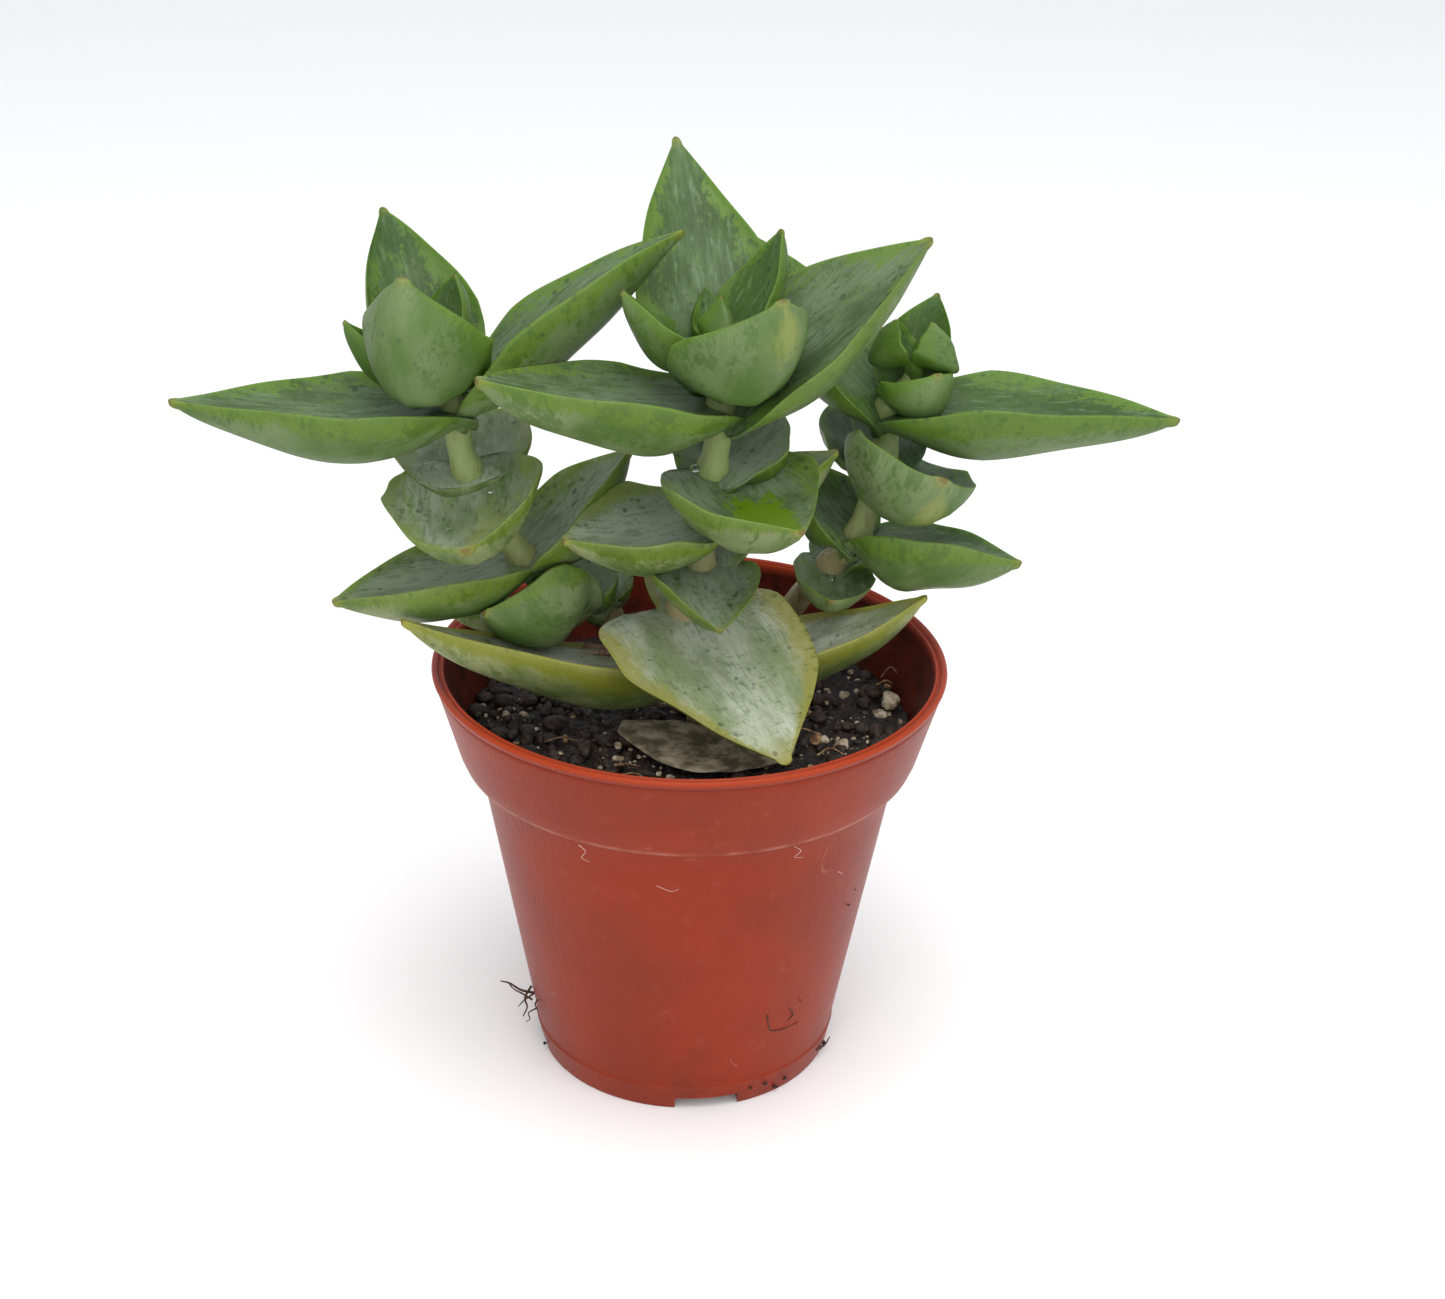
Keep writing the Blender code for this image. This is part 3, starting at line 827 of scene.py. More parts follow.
class MarkKind(Enum):
    """What a mark on a blade is; the value names its attribute."""

    WET = "wet"
    STAIN = "stain"


@dataclass(frozen=True)
class Mark:
    """An oval mark on one face of a blade, its middle and reach as shares along and across."""

    kind: MarkKind
    under: bool
    along: float
    across: float
    long: float
    wide: float


@dataclass(frozen=True)
class Leaf:
    """One blade, placed by the straight line from the stem to its tip.

    Azimuth and rise are in degrees, length and width in millimetres. Curl is how many degrees the
    pitch gains from root to tip, roll turns the blade about its spine, cup is the channel's depth as a
    share of the half width, thick the keel's depth, blunt the power that keeps the blade wide towards
    its tip, and root the base's share of the full width.
    """

    azimuth: float
    rise: float
    length: float
    width: float
    curl: float = 20.0
    roll: float = 0.0
    cup: float = 0.35
    thick: float = 4.2
    blunt: float = 1.9
    root: float = 0.66
    marks: tuple[Mark, ...] = ()


@dataclass(frozen=True)
class Whorl:
    """A pair of blades fused round the stem.

    Age and youth say from 0 to 1 how old and how fresh they look, and band how broad their bright margin is
    below. Age also pales the bloom and keel, partly as painted light that lifts the shaded lower whorls.
    """

    joint: Triple
    leaves: tuple[Leaf, ...]
    age: float = 0.1
    youth: float = 0.0
    band: float = 1.0


@dataclass(frozen=True)
class StemPlan:
    """A leafy stem from its soil point through its bend to its whorls, listed from the top down."""

    node: str
    foot: tuple[float, float]
    bend: Triple
    radius: float
    top_radius: float
    whorls: tuple[Whorl, ...]


LEFT = StemPlan(
    node="leafy_stem_left",
    foot=(-4.5, 6.0),
    bend=(-7.5, 5.2, 46.5),
    radius=1.8,
    top_radius=1.6,
    whorls=(
        Whorl((-26.2, -6.0, 83.5), (Leaf(120, 60, 4.5, 3.6, 30), Leaf(300, 76, 5, 3.6, 20)), 0.0, 1.0),
        Whorl((-25.8, -6.0, 81.0), (
            Leaf(194, 34, 10, 6.0, 40, thick=2.8),
            Leaf(50, 70, 9.5, 6.5, 20, thick=2.8, blunt=3.0),
        ), 0.0, 0.8),
        Whorl((-25.0, -6.0, 80.8), (
            Leaf(252, 58, 14.0, 13.6, 84, cup=0.7, thick=3.0, blunt=3.4, root=0.8),
            Leaf(126, 52, 17.7, 12.0, 8, cup=0.45, thick=3.4, blunt=2.2, root=0.8),
        ), 0.0, 0.45, 0.7),
        Whorl((-23.6, -6.0, 77.6), (
            Leaf(200, 6.5, 28.05, 13.5, 12, thick=4.8),
            Leaf(8.5, 37.1, 28.4, 12.2, -26, roll=-5, thick=4.6),
        ), 0.05, 0.15),
        Whorl((-22.8, -5.0, 70.4), (
            Leaf(275, -16, 13.0, 16.5, 34, roll=14, cup=0.45, blunt=3.2, root=0.85, marks=(
                Mark(MarkKind.STAIN, False, 0.74, 0.35, 0.60, 0.55),
            )),
            Leaf(94, 8, 13.0, 14.5, 20, roll=-12, blunt=3.0, root=0.85),
        ), 0.35),
        Whorl((-17.5, -3.0, 59.7), (
            Leaf(203, -5.5, 20.3, 11.5, -6, thick=4.6, blunt=2.4),
            Leaf(20, 42.5, 15.8, 11.5, -10, thick=4.6, blunt=2.2),
        ), 0.3),
        Whorl((-12.4, -1.0, 54.4), (
            Leaf(222, 8, 11.8, 13.2, 30, roll=40, cup=0.6, thick=2.9, blunt=2.8, root=0.9),
            Leaf(60, 24, 8, 8.0, 14),
        ), 0.15),
        Whorl((-10.0, 2.8, 52.7), (
            Leaf(206, 3, 16.7, 9.0, 24, roll=12, cup=0.4, thick=2.2, blunt=2.4),
            Leaf(80, 22, 7, 7.0, 14),
        ), 0.3),
    ),
)
MIDDLE = StemPlan(
    node="leafy_stem_middle",
    foot=(1.2, -1.5),
    bend=(1.2, -1.8, 43.0),
    radius=1.9,
    top_radius=1.6,
    whorls=(
        Whorl((1.9, -6.0, 85.0), (Leaf(110, 60, 5, 3.8, 30), Leaf(290, 70, 5, 3.8, 20)), 0.0, 1.0),
        Whorl((2.1, -6.0, 82.6), (
            Leaf(198, 40, 12.3, 7.5, 24, thick=2.8, blunt=2.2),
            Leaf(33, 59, 14.3, 8.5, 24, thick=2.8, blunt=2.4),
        ), 0.0, 0.8),
        Whorl((2.5, -6.0, 81.8), (
            Leaf(302, 43, 15.0, 15.0, 60, cup=0.6, thick=2.6, blunt=3.4, root=0.85, marks=(
                Mark(MarkKind.STAIN, True, 0.84, 0.10, 0.30, 0.70),
            )),
            Leaf(106.5, 46.8, 25.6, 14.5, 4, cup=0.25, thick=3.8, blunt=1.9, root=0.8),
        ), 0.0, 0.3, 0.5),
        Whorl((2.9, -6.0, 78.3), (
            Leaf(206.5, 13.2, 26.6, 13.0, 8, roll=-2, thick=4.8, blunt=2.8, root=0.8),
            Leaf(16.5, 36, 26.2, 17.0, -6, roll=12, thick=4.4, blunt=2.0, root=0.8),
        ), 0.1, 0.1),
        Whorl((2.1, -6.0, 71.4), (
            Leaf(306, -6, 15.0, 17.0, 24, cup=0.4, blunt=2.6, root=0.85, marks=(
                Mark(MarkKind.WET, False, 0.74, 0.04, 0.60, 0.66),
            )),
            Leaf(60, 14, 13.0, 13.0, 14, root=0.8),
        ), 0.2),
        Whorl((0.9, -5.0, 65.7), (
            Leaf(207, 0, 15.2, 13.5, 12, roll=-6, blunt=2.4, root=0.85),
            Leaf(20, 20, 15.8, 12.0, 8, root=0.85),
        ), 0.4),
        Whorl((0.9, -4.0, 60.2), (
            Leaf(280, -8, 13.4, 11.5, -4, roll=-6, thick=3.0, root=0.85),
            Leaf(85, 20, 14, 11.0, 10, root=0.85),
        ), 0.35),
        Whorl((-0.8, -3.0, 54.4), (
            Leaf(302.5, -24, 22.4, 22.0, -8, cup=0.15, thick=2.6, blunt=2.1, root=1.0),
            Leaf(84, 8, 14, 9.5, 0),
        ), 0.75),
        Whorl((1.1, -2.0, 46.9), (
            Leaf(197.5, 16.5, 33.0, 12.5, 20, roll=13, cup=0.2, thick=4.4, blunt=2.2, root=0.8),
            Leaf(6, 18, 25.2, 12.5, 22, roll=-4, cup=0.2, thick=4.2, blunt=2.2, root=0.8),
        ), 0.95),
    ),
)
RIGHT = StemPlan(
    node="leafy_stem_right",
    foot=(7.5, 10.0),
    bend=(11.0, 9.8, 48.5),
    radius=1.8,
    top_radius=1.5,
    whorls=(
        Whorl((22.6, 6.0, 79.0), (Leaf(160, 65, 4.5, 3.6, 30), Leaf(340, 70, 4.5, 3.6, 20)), 0.0, 1.0),
        Whorl((21.8, 6.0, 76.0), (
            Leaf(300, 30, 6.5, 8.5, 60, cup=0.5, thick=2.8, blunt=4.0, root=0.9),
            Leaf(58, 54, 10.5, 8.5, 8, cup=0.4, thick=2.8, blunt=2.4, root=0.9),
        ), 0.0, 0.9),
        Whorl((20.2, 6.0, 73.8), (
            Leaf(-12, 3, 30.0, 12.5, -10, thick=5.0, blunt=2.2, root=0.8),
            Leaf(152, 43, 23.5, 14.0, 4, thick=4.4, root=0.8),
        ), 0.0, 0.45, 1.4),
        Whorl((20.0, 6.0, 68.6), (
            Leaf(298, 7, 11.8, 15.5, 60, roll=-27, cup=0.5, thick=4.0, blunt=3.6, root=0.9, marks=(
                Mark(MarkKind.STAIN, True, 0.78, 0.20, 0.30, 0.45),
            )),
            Leaf(110, 15, 11.0, 12.0, 20, blunt=3.0, root=0.9),
        ), 0.05, 0.0, 0.3),
        Whorl((17.6, 5.0, 59.7), (
            Leaf(-17, -2, 17.8, 10.5, -12, roll=-12, thick=5.0, blunt=2.4),
            Leaf(141, 40, 10, 10.0, 10, root=0.85),
        ), 0.1),
        Whorl((15.1, 7.4, 55.2), (
            Leaf(268, -2, 9.0, 9.0, 40, roll=-10, thick=2.4, blunt=3.0, root=0.9),
            Leaf(60, 15, 8, 8.0, 10),
        ), 0.2, 0.0, 0.6),
    ),
)


def linked(name: str, data: bpy.types.ID) -> bpy.types.Object:
    """Make an object and link it to the scene.

    Args:
        name: The object's name.
        data: Its mesh, camera or light.

    Returns:
        The object.
    """
    made = bpy.data.objects.new(name, data)
    bpy.context.scene.collection.objects.link(made)
    return made


def mesh_data(mesh: bmesh.types.BMesh, name: str) -> bpy.types.Mesh:
    """Turn a bmesh into mesh data and free it.

    Args:
        mesh: The bmesh.
        name: The data's name.

    Returns:
        The mesh data.
    """
    data = bpy.data.meshes.new(name)
    mesh.to_mesh(data)
    mesh.free()
    return data


@dataclass
class MeshParts:
    """Vertices, faces and point attributes gathered from closed shells, ready for one mesh."""

    points: list[np.ndarray] = field(default_factory=list)
    faces: list[np.ndarray] = field(default_factory=list)
    slots: list[np.ndarray] = field(default_factory=list)
    values: dict[str, list[np.ndarray]] = field(default_factory=dict)
    total: int = 0

    def add(self, points: np.ndarray, faces: np.ndarray, slot: int = 0, **values: np.ndarray | float) -> None:
        """Add one closed shell.

        Args:
            points: Vertices, n by 3, in metres.
            faces: Quads, m by 4, where a triangle repeats its last corner.
            slot: Material slot of the shell.
            **values: One float for each vertex, or one for all of them, by attribute name.
        """
        self.points.append(points)
        self.faces.append(faces + self.total)
        self.slots.append(np.full(len(faces), slot, dtype=np.int32))
        for name, numbers in values.items():
            self.values.setdefault(name, []).append(np.broadcast_to(numbers, (len(points),)))
        self.total += len(points)

    def to_object(self, name: str, materials: list[bpy.types.Material]) -> bpy.types.Object:
        """Write the gathered shells to a mesh object with foreach_set.

        Args:
            name: The object's name.
            materials: Its material slots.

        Returns:
            The linked object.
        """
        points = np.concatenate(self.points)
        quads = np.concatenate(self.faces)
        slots = np.concatenate(self.slots)
        three = quads[:, 2] == quads[:, 3]
        sizes = np.where(three, 3, 4).astype(np.int32)
        keep = np.ones(quads.shape, dtype=bool)
        keep[three, 3] = False
        corners = quads[keep].astype(np.int32)
        starts = np.concatenate([[0], np.cumsum(sizes)[:-1]]).astype(np.int32)
        mesh = bpy.data.meshes.new(name)
        mesh.vertices.add(len(points))
        mesh.vertices.foreach_set("co", points.astype(np.float32).ravel())
        mesh.loops.add(len(corners))
        mesh.loops.foreach_set("vertex_index", corners)
        mesh.polygons.add(len(sizes))
        mesh.polygons.foreach_set("loop_start", starts)
        mesh.polygons.foreach_set("material_index", slots)
        mesh.polygons.foreach_set("use_smooth", np.ones(len(sizes), dtype=bool))
        for material in materials:
            mesh.materials.append(material)
        for label, numbers in self.values.items():
            layer = mesh.attributes.new(label, "FLOAT", "POINT")
            layer.data.foreach_set("value", np.concatenate(numbers).astype(np.float32))
        mesh.update(calc_edges=True)
        mesh.validate()
        return linked(name, mesh)


def tube_faces(rings: int, around: int) -> np.ndarray:
    """Quads of a tube of rings, row by row, with a pole after the last ring and one before the first.

    Args:
        rings: Number of rings. Their vertices come first, ring by ring.
        around: Vertices in a ring.

    Returns:
        Faces as quads. The two pole fans repeat their last corner. The start pole is the vertex
        after all the rings, and the end pole is the one after that.
    """
    row = np.arange(rings - 1)[:, None] * around
    step = np.arange(around)[None, :]
    after = (step + 1) % around
    quads = np.stack([row + step, row + after, row + around + after, row + around + step], axis=-1)
    first, last = rings * around, rings * around + 1
    turn = np.arange(around)
    after = (turn + 1) % around
    start = np.stack([after, turn, np.full(around, first), np.full(around, first)], axis=-1)
    top = (rings - 1) * around
    end = np.stack([top + turn, top + after, np.full(around, last), np.full(around, last)], axis=-1)
    return np.concatenate([quads.reshape(-1, 4), start, end])


def swept_tube(path: np.ndarray, radii: np.ndarray, around: int) -> tuple[np.ndarray, np.ndarray]:
    """Sweep circles along a path, with a pole at each end.

    Args:
        path: Centres, n by 3.
        radii: Radius at each centre.
        around: Vertices in each circle.

    Returns:
        Points and faces. Each circle's two axes are the crosses of the path's tangent with a fixed
        reference direction, which keeps the tube from twisting.
    """
    tangent = np.gradient(path, axis=0)
    tangent /= np.linalg.norm(tangent, axis=1, keepdims=True)
    reference = np.array([0.13, 0.97, 0.21])
    side = np.cross(tangent, reference)
    side /= np.linalg.norm(side, axis=1, keepdims=True)
    other = np.cross(tangent, side)
    angle = np.linspace(0.0, math.tau, around, endpoint=False)[None, :, None]
    circle = np.cos(angle) * side[:, None, :] + np.sin(angle) * other[:, None, :]
    points = (path[:, None, :] + radii[:, None, None] * circle).reshape(-1, 3)
    points = np.concatenate([points, path[:1], path[-1:]])
    return points, tube_faces(len(path), around)


def smooth_path(knots: np.ndarray, steps: int) -> np.ndarray:
    """Run a curve through knots with Catmull-Rom weights.

    Args:
        knots: Points, n by 3.
        steps: Samples between two knots.

    Returns:
        The sampled curve, knots included.
    """
    padded = np.concatenate([2 * knots[:1] - knots[1:2], knots, 2 * knots[-1:] - knots[-2:-1]])
    t = np.linspace(0.0, 1.0, steps, endpoint=False)[None, :, None]
    before, start, end, after = (padded[i:len(padded) - 3 + i, None, :] for i in range(4))
    curve = 0.5 * (
        2 * start + (end - before) * t + (2 * before - 5 * start + 4 * end - after) * t ** 2
        + (3 * start - before - 3 * end + after) * t ** 3
    )
    return np.concatenate([curve.reshape(-1, 3), knots[-1:]])


@dataclass(frozen=True)
class Section:
    """A ring's points as shares: their places across, their drop, and their underside and edge."""

    across: np.ndarray
    drop: np.ndarray
    under: np.ndarray
    edge: np.ndarray


@dataclass(frozen=True)
class Spine:
    """A blade's spine in millimetres, with its rings' shares along it and their two directions."""

    along: np.ndarray
    arc: float
    points: np.ndarray
    tip: np.ndarray
    side: np.ndarray
    rise: np.ndarray


@dataclass(frozen=True)
class LeafForm:
    """Turns a leaf's few sizes into a fleshy, sharp-edged blade.

    Shares along run from 0 at the joint to 1 at the tip. Overlap, sink and ridge are in millimetres.
    """

    rings: int = 46
    crowding: float = 1.35
    last_ring: float = 0.9996
    widest: float = 0.34
    taper: float = 0.32
    overlap: float = 1.8
    keel_at_root: float = 0.45
    keel_full_at: float = 0.28
    keel_power: float = 0.7
    round_from: float = 0.12
    rounding: float = 0.72
    sink: float = 1.3
    tip_from: float = 0.962
    ridge: float = 0.13
    ridge_at: float = 0.86
    ridge_width: float = 0.07
    wobble: float = 0.04
    widest_wobble: float = 1.04
    phases: int = 6

    def section(self) -> Section:
        """Lay out one ring.

        It runs along the channel from one margin to the other and back under the keel. Points crowd
        at the margins, so that the sharp edge keeps a small rounding when shaded smooth.

        Returns:
            The ring's shares.
        """
        reach = np.array([0.0, 0.18, 0.36, 0.52, 0.66, 0.78, 0.88, 0.95, 0.985])
        above = np.concatenate([-reach[:0:-1], reach])
        turn = np.array([0.0, 0.035, 0.09, 0.17, 0.27, 0.38, 0.5])
        turn = np.concatenate([turn, 1.0 - turn[-2::-1]])
        below = np.cos(np.pi * turn)
        drop = np.sqrt(np.clip(1.0 - below ** 2, 0.0, 1.0)) ** 1.15
        flat = np.zeros(len(above))
        return Section(
            across=np.concatenate([above, below]),
            drop=np.concatenate([flat, drop]),
            under=np.concatenate([flat, np.clip(drop * 9.0, 0.15, 1.0)]),
            edge=np.concatenate([np.abs(above) ** 2, 1.0 - np.minimum(turn, 1.0 - turn) * 2.0]),
        )

    def spine(self, joint: Triple, leaf: Leaf) -> Spine:
        """Lay out the spine, whose pitch changes evenly, so that its chord is exactly the leaf's line.

        Args:
            joint: The blade's joint on the stem, in millimetres.
            leaf: The blade's sizes.

        Returns:
            The spine.
        """
        bend = math.radians(leaf.curl)
        straight = abs(bend) < 1e-4
        arc = leaf.length * (1.0 if straight else (bend / 2) / math.sin(bend / 2))
        share = np.linspace(0.0, 1.0, self.rings)
        root = -self.overlap / arc
        along = root + (self.last_ring - root) * (1.0 - (1.0 - share) ** self.crowding)
        first = math.radians(leaf.rise) - bend / 2
        every = np.append(along, 1.0)
        if straight:
            out, up = every * math.cos(first), every * math.sin(first)
        else:
            out = (np.sin(first + bend * every) - math.sin(first)) / bend
            up = (math.cos(first) - np.cos(first + bend * every)) / bend
        heading = math.radians(leaf.azimuth)
        forward = np.array([math.cos(heading), math.sin(heading), 0.0])
        upward = np.array([0.0, 0.0, 1.0])
        level = np.cross(upward, forward)
        points = np.array(joint) + arc * (out[:, None] * forward + up[:, None] * upward)
        pitch = first + bend * along
        tangent = np.cos(pitch)[:, None] * forward + np.sin(pitch)[:, None] * upward
        lift = np.cross(tangent, level)
        roll = math.radians(leaf.roll)
        side = math.cos(roll) * level + math.sin(roll) * lift
        rise = math.cos(roll) * lift - math.sin(roll) * level
        return Spine(along, arc, points[:-1], points[-1:], side, rise)

    def outline(self, leaf: Leaf, along: np.ndarray) -> np.ndarray:
        """Draw the blade's outline.

        It is a parabola from the root, a power curve towards the tip, and an ellipse round the tip.

        Args:
            leaf: The blade's sizes.
            along: Shares along the blade.

        Returns:
            Half width as a share of the widest.
        """
        near = 1.0 - np.clip(along, 0.0, None) / self.widest
        rising = 1.0 - (1.0 - leaf.root) * near ** 2
        far = np.clip((np.minimum(along, self.tip_from) - self.widest) / (1.0 - self.widest), 0.0, 1.0)
        falling = (1.0 - far ** leaf.blunt) * (1.0 - self.taper * far)
        last = np.clip((along - self.tip_from) / (1.0 - self.tip_from), 0.0, 1.0)
        return np.where(along < self.widest, rising, falling * np.sqrt(1.0 - last ** 2))

    @staticmethod
    def channel(leaf: Leaf, along: np.ndarray, half: np.ndarray) -> np.ndarray:
        """Deepen the channel from the root on, and flatten it towards the tip of a blunt blade.

        Args:
            leaf: The blade's sizes.
            along: The rings' shares along the blade.
            half: Their half widths in millimetres.

        Returns:
            The channel's depth at each ring, in millimetres.
        """
        depth = leaf.cup * half * np.clip(0.35 + np.clip(along, 0.0, None) * 2.0, 0.0, 1.0)
        flatten = np.clip((leaf.blunt - 2.5) / 0.8, 0.0, 0.9)
        return depth * (1.0 - flatten * np.clip((along - 0.5) / 0.45, 0.0, 1.0) ** 2)

    def skin(self, leaf: Leaf, along: np.ndarray, ring: Section, phase: np.ndarray
             ) -> tuple[np.ndarray, np.ndarray, np.ndarray]:
        """Lay the skin round the spine.

        The channel is a parabola, and the keel is a power of the circle below it. The margins and the
        keel wander by a few hundredths of the width. The root's corners are rounded by the square root
        of a falling parabola.

        Args:
            leaf: The blade's sizes.
            along: The rings' shares along the blade, as a column.
            ring: The shares across one ring.
            phase: The leaf's own phases.

        Returns:
            Distances to the side and upwards in millimetres, and how far each ring belongs to the
            rounded root.
        """
        full = self.outline(leaf, along)
        back = np.clip((self.round_from - along) / (self.round_from - along[0]), 0.0, 1.0)
        half = leaf.width / 2 * full * np.sqrt(1.0 - self.rounding * back ** 2)
        near = 1.0 - np.clip(along / self.keel_full_at, 0.0, 1.0)
        depth = leaf.thick * np.clip(full, 0.0, None) ** self.keel_power
        depth = depth * (1.0 - (1.0 - self.keel_at_root) * near ** 2)
        sway = self.wobble * (np.sin(along * 7.0 + phase[0]) + 0.6 * np.sin(along * 15.0 + phase[1]))
        lean = 1.0 + sway * np.sign(ring.across) * (1.0 - full * 0.2)
        wide = half * ring.across * np.minimum(lean, self.widest_wobble)
        curve = self.channel(leaf, along, half) * (ring.across ** 2 - 0.35)
        offset = (np.abs(ring.across) - self.ridge_at) / self.ridge_width
        groove = self.ridge * np.exp(-(offset ** 2)) * (ring.drop == 0)
        keel = depth * ring.drop * (1.0 + 0.05 * np.sin(along * 11.0 + phase[2]))
        ripple = 0.16 * np.sin(along * 13.0 + phase[3]) * np.abs(ring.across) ** 3
        tall = curve - keel - groove * np.minimum(1.0, half / 4.0) + ripple * full
        return wide, tall - self.sink * back ** 2, back

    @staticmethod
    def marked(leaf: Leaf, kind: MarkKind, along: np.ndarray, ring: Section) -> np.ndarray:
        """Lay one kind of mark on the blade, falling evenly from one in its middle to none at its rim.

        Args:
            leaf: The blade's sizes and marks.
            kind: The kind of mark.
            along: The rings' shares along the blade, as a column.
            ring: The shares across one ring.

        Returns:
            One share for each vertex of the rings.
        """
        share = np.zeros((len(along), len(ring.across)))
        for mark in leaf.marks:
            if mark.kind is kind:
                far = np.hypot((along - mark.along) / mark.long, (ring.across - mark.across) / mark.wide)
                face = (ring.under > 0.0) == mark.under
                share = np.maximum(share, np.clip(1.0 - far, 0.0, 1.0) * face)
        return share.ravel()

    def build(self, joint: Triple, leaf: Leaf, rng: np.random.Generator
              ) -> tuple[np.ndarray, np.ndarray, dict[str, np.ndarray]]:
        """Build one blade.

        Args:
            joint: The blade's joint on the stem, in millimetres.
            leaf: The blade's sizes.
            rng: Source of the leaf's own unevenness.

        Returns:
            Points in metres, faces, and the point attributes: run and side in millimetres along and
            across the blade, its seed, the shares along, under and edge, and its marks.
        """
        spine = self.spine(joint, leaf)
        ring = self.section()
        around = len(ring.across)
        rows = spine.along[:, None]
        wide, tall, back = self.skin(leaf, rows, ring, rng.uniform(0.0, math.tau, self.phases))
        points = spine.points[:, None, :] + wide[..., None] * spine.side[:, None, :]
        points = points + tall[..., None] * spine.rise[:, None, :]
        root = points[0].mean(axis=0, keepdims=True)
        points = np.concatenate([points.reshape(-1, 3), root, spine.tip]) * MM
        faces = tube_faces(self.rings, around)[:, ::-1]
        three = faces[:, 0] == faces[:, 1]
        faces[three] = np.roll(faces[three], -2, axis=1)
        values = {
            "run": np.append(np.repeat(spine.along * spine.arc, around), [0.0, spine.arc]),
            "side": np.append(wide.ravel(), [0.0, 0.0]),
            "seed": np.full(len(points), rng.uniform(0.0, 90.0)),
            "along": np.append(np.repeat(np.clip(spine.along, 0.0, 1.0), around), [0.0, 1.0]),
            "under": np.append(np.tile(ring.under, self.rings), [1.0, 0.5]),
            "edge": np.append((ring.edge * (1.0 - back ** 2)).ravel(), [0.0, 1.0]),
        }
        for kind in MarkKind:
            values[kind.value] = np.append(self.marked(leaf, kind, rows, ring), [0.0, 0.0])
        return points, faces, values


@dataclass(frozen=True)
class StalkForm:
    """How a stalk runs, swells and thins, with lengths in millimetres.

    Its foot stands sunk between two heights. It swells as a bell curve just below each whorl and ends
    more sharply above it. From the bud's whorl, counted from the top, it thins to its end.
    """

    foot_heights: tuple[float, float] = (30.0, 40.0)
    steps: int = 10
    around: int = 20
    waist: float = 0.80
    knot: float = 0.22
    swell_below: float = 2.4
    swell_above: float = 0.9
    bud: int = 2
    past_bud: float = 0.6
    thinnest: float = 0.12
    thinning: float = 0.8

    def path(self, plan: StemPlan) -> tuple[np.ndarray, np.ndarray]:
        """Lay out a stem's stalk.

        Args:
            plan: The stem.

        Returns:
            Its centres and radii in millimetres.
        """
        knots = [(*plan.foot, height) for height in self.foot_heights]
        knots += [plan.bend, *(whorl.joint for whorl in reversed(plan.whorls))]
        path = smooth_path(np.array(knots, dtype=float), self.steps)
        travel = np.concatenate([[0.0], np.cumsum(np.linalg.norm(np.diff(path, axis=0), axis=1))])
        radii = np.interp(travel, travel[[0, -1]], (plan.radius, plan.top_radius))
        joints = np.array([whorl.joint for whorl in plan.whorls])
        apart = np.linalg.norm(path[:, None, :] - joints[None, :, :], axis=2)
        stations = travel[apart.argmin(axis=0)]
        offset = travel[:, None] - stations[None, :]
        spread = np.where(offset < 0.0, self.swell_below, self.swell_above)
        swell = np.exp(-((offset / spread) ** 2)).max(axis=1)
        radii = radii * (self.waist + self.knot * swell)
        bud = stations[self.bud]
        left = 1.0 - (travel - bud) / (travel[-1] - bud + self.past_bud)
        return path, radii * np.clip(left, self.thinnest, 1.0) ** self.thinning


class LeafyStem:
    """One stem: its stalk, its blades and the node that it stands for."""

    blade_values = ("run", "side", "seed", "under", "edge", "wet", "stain", "age", "youth", "band")

    def __init__(self, plan: StemPlan, palette: Palette, form: LeafForm, stalk: StalkForm) -> None:
        """Keep what the stem is built from.

        Args:
            plan: The stem's plan.
            palette: The shared materials.
            form: The blades' form.
            stalk: The stalk's form.
        """
        self.plan = plan
        self.palette = palette
        self.form = form
        self.stalk = stalk

    def build(self) -> list[bpy.types.Object]:
        """Build the stem as one object and hand it to the frame.

        Returns:
            The leafy stem alone.
        """
        plan = self.plan
        rng = np.random.default_rng(SEED + len(plan.whorls))
        parts = MeshParts()
        path, radii = self.stalk.path(plan)
        points, faces = swept_tube(path * MM, radii * MM, self.stalk.around)
        climb = np.repeat(np.linspace(0.0, 1.0, len(path)), self.stalk.around)
        spare = dict.fromkeys(self.blade_values, 0.0)
        parts.add(points, faces, 1, along=np.append(climb, [0.0, 1.0]), **spare)
        for whorl in plan.whorls:
            tones = {"age": whorl.age, "youth": whorl.youth, "band": whorl.band}
            for leaf in whorl.leaves:
                points, faces, values = self.form.build(whorl.joint, leaf, rng)
                parts.add(points, faces, 0, **tones, **values)
        made = parts.to_object(plan.node + "_leaves", [self.palette.leaf, self.palette.stalk])
        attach(made, ROOT_BODY)
        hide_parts(plan.node)
        return [made]


@dataclass(frozen=True)
class PotSizes:
    """The pot's sizes in millimetres, with the notches' headings in degrees."""

    height: float = 47.0
    rim: float = 27.5
    collar: float = 10.2
    collar_foot: float = 24.6
    body_top: float = 23.0
    foot: float = 16.4
    recess: float = 0.14
    wall: float = 0.9
    floor_lift: float = 2.4
    floor: float = 1.2
    foot_wall: float = 1.6
    notch_height: float = 1.5
    notch_width: float = 7.0
    notch_depth: float = 8.0
    notches: tuple[float, ...] = (-80.0, 10.0, 100.0, 190.0)
    drain: float = 1.6
    drain_ring: float = 8.0
    drain_height: float = 3.0
    drain_depth: float = 4.0
    sides: int = 192
    sharp_angle: float = 50.0

    @property
    def shoulder(self) -> float:
        """Height at which the collar steps out."""
        return self.height - self.collar

    def body(self, height: float) -> float:
        """Outside radius of the body at a height, before its recess."""
        return self.foot + (self.body_top - self.foot) * height / self.shoulder

    def band(self, height: float) -> float:
        """Outside radius of the collar at a height."""
        return self.collar_foot + (self.rim - self.collar_foot) * (height - self.shoulder) / self.collar


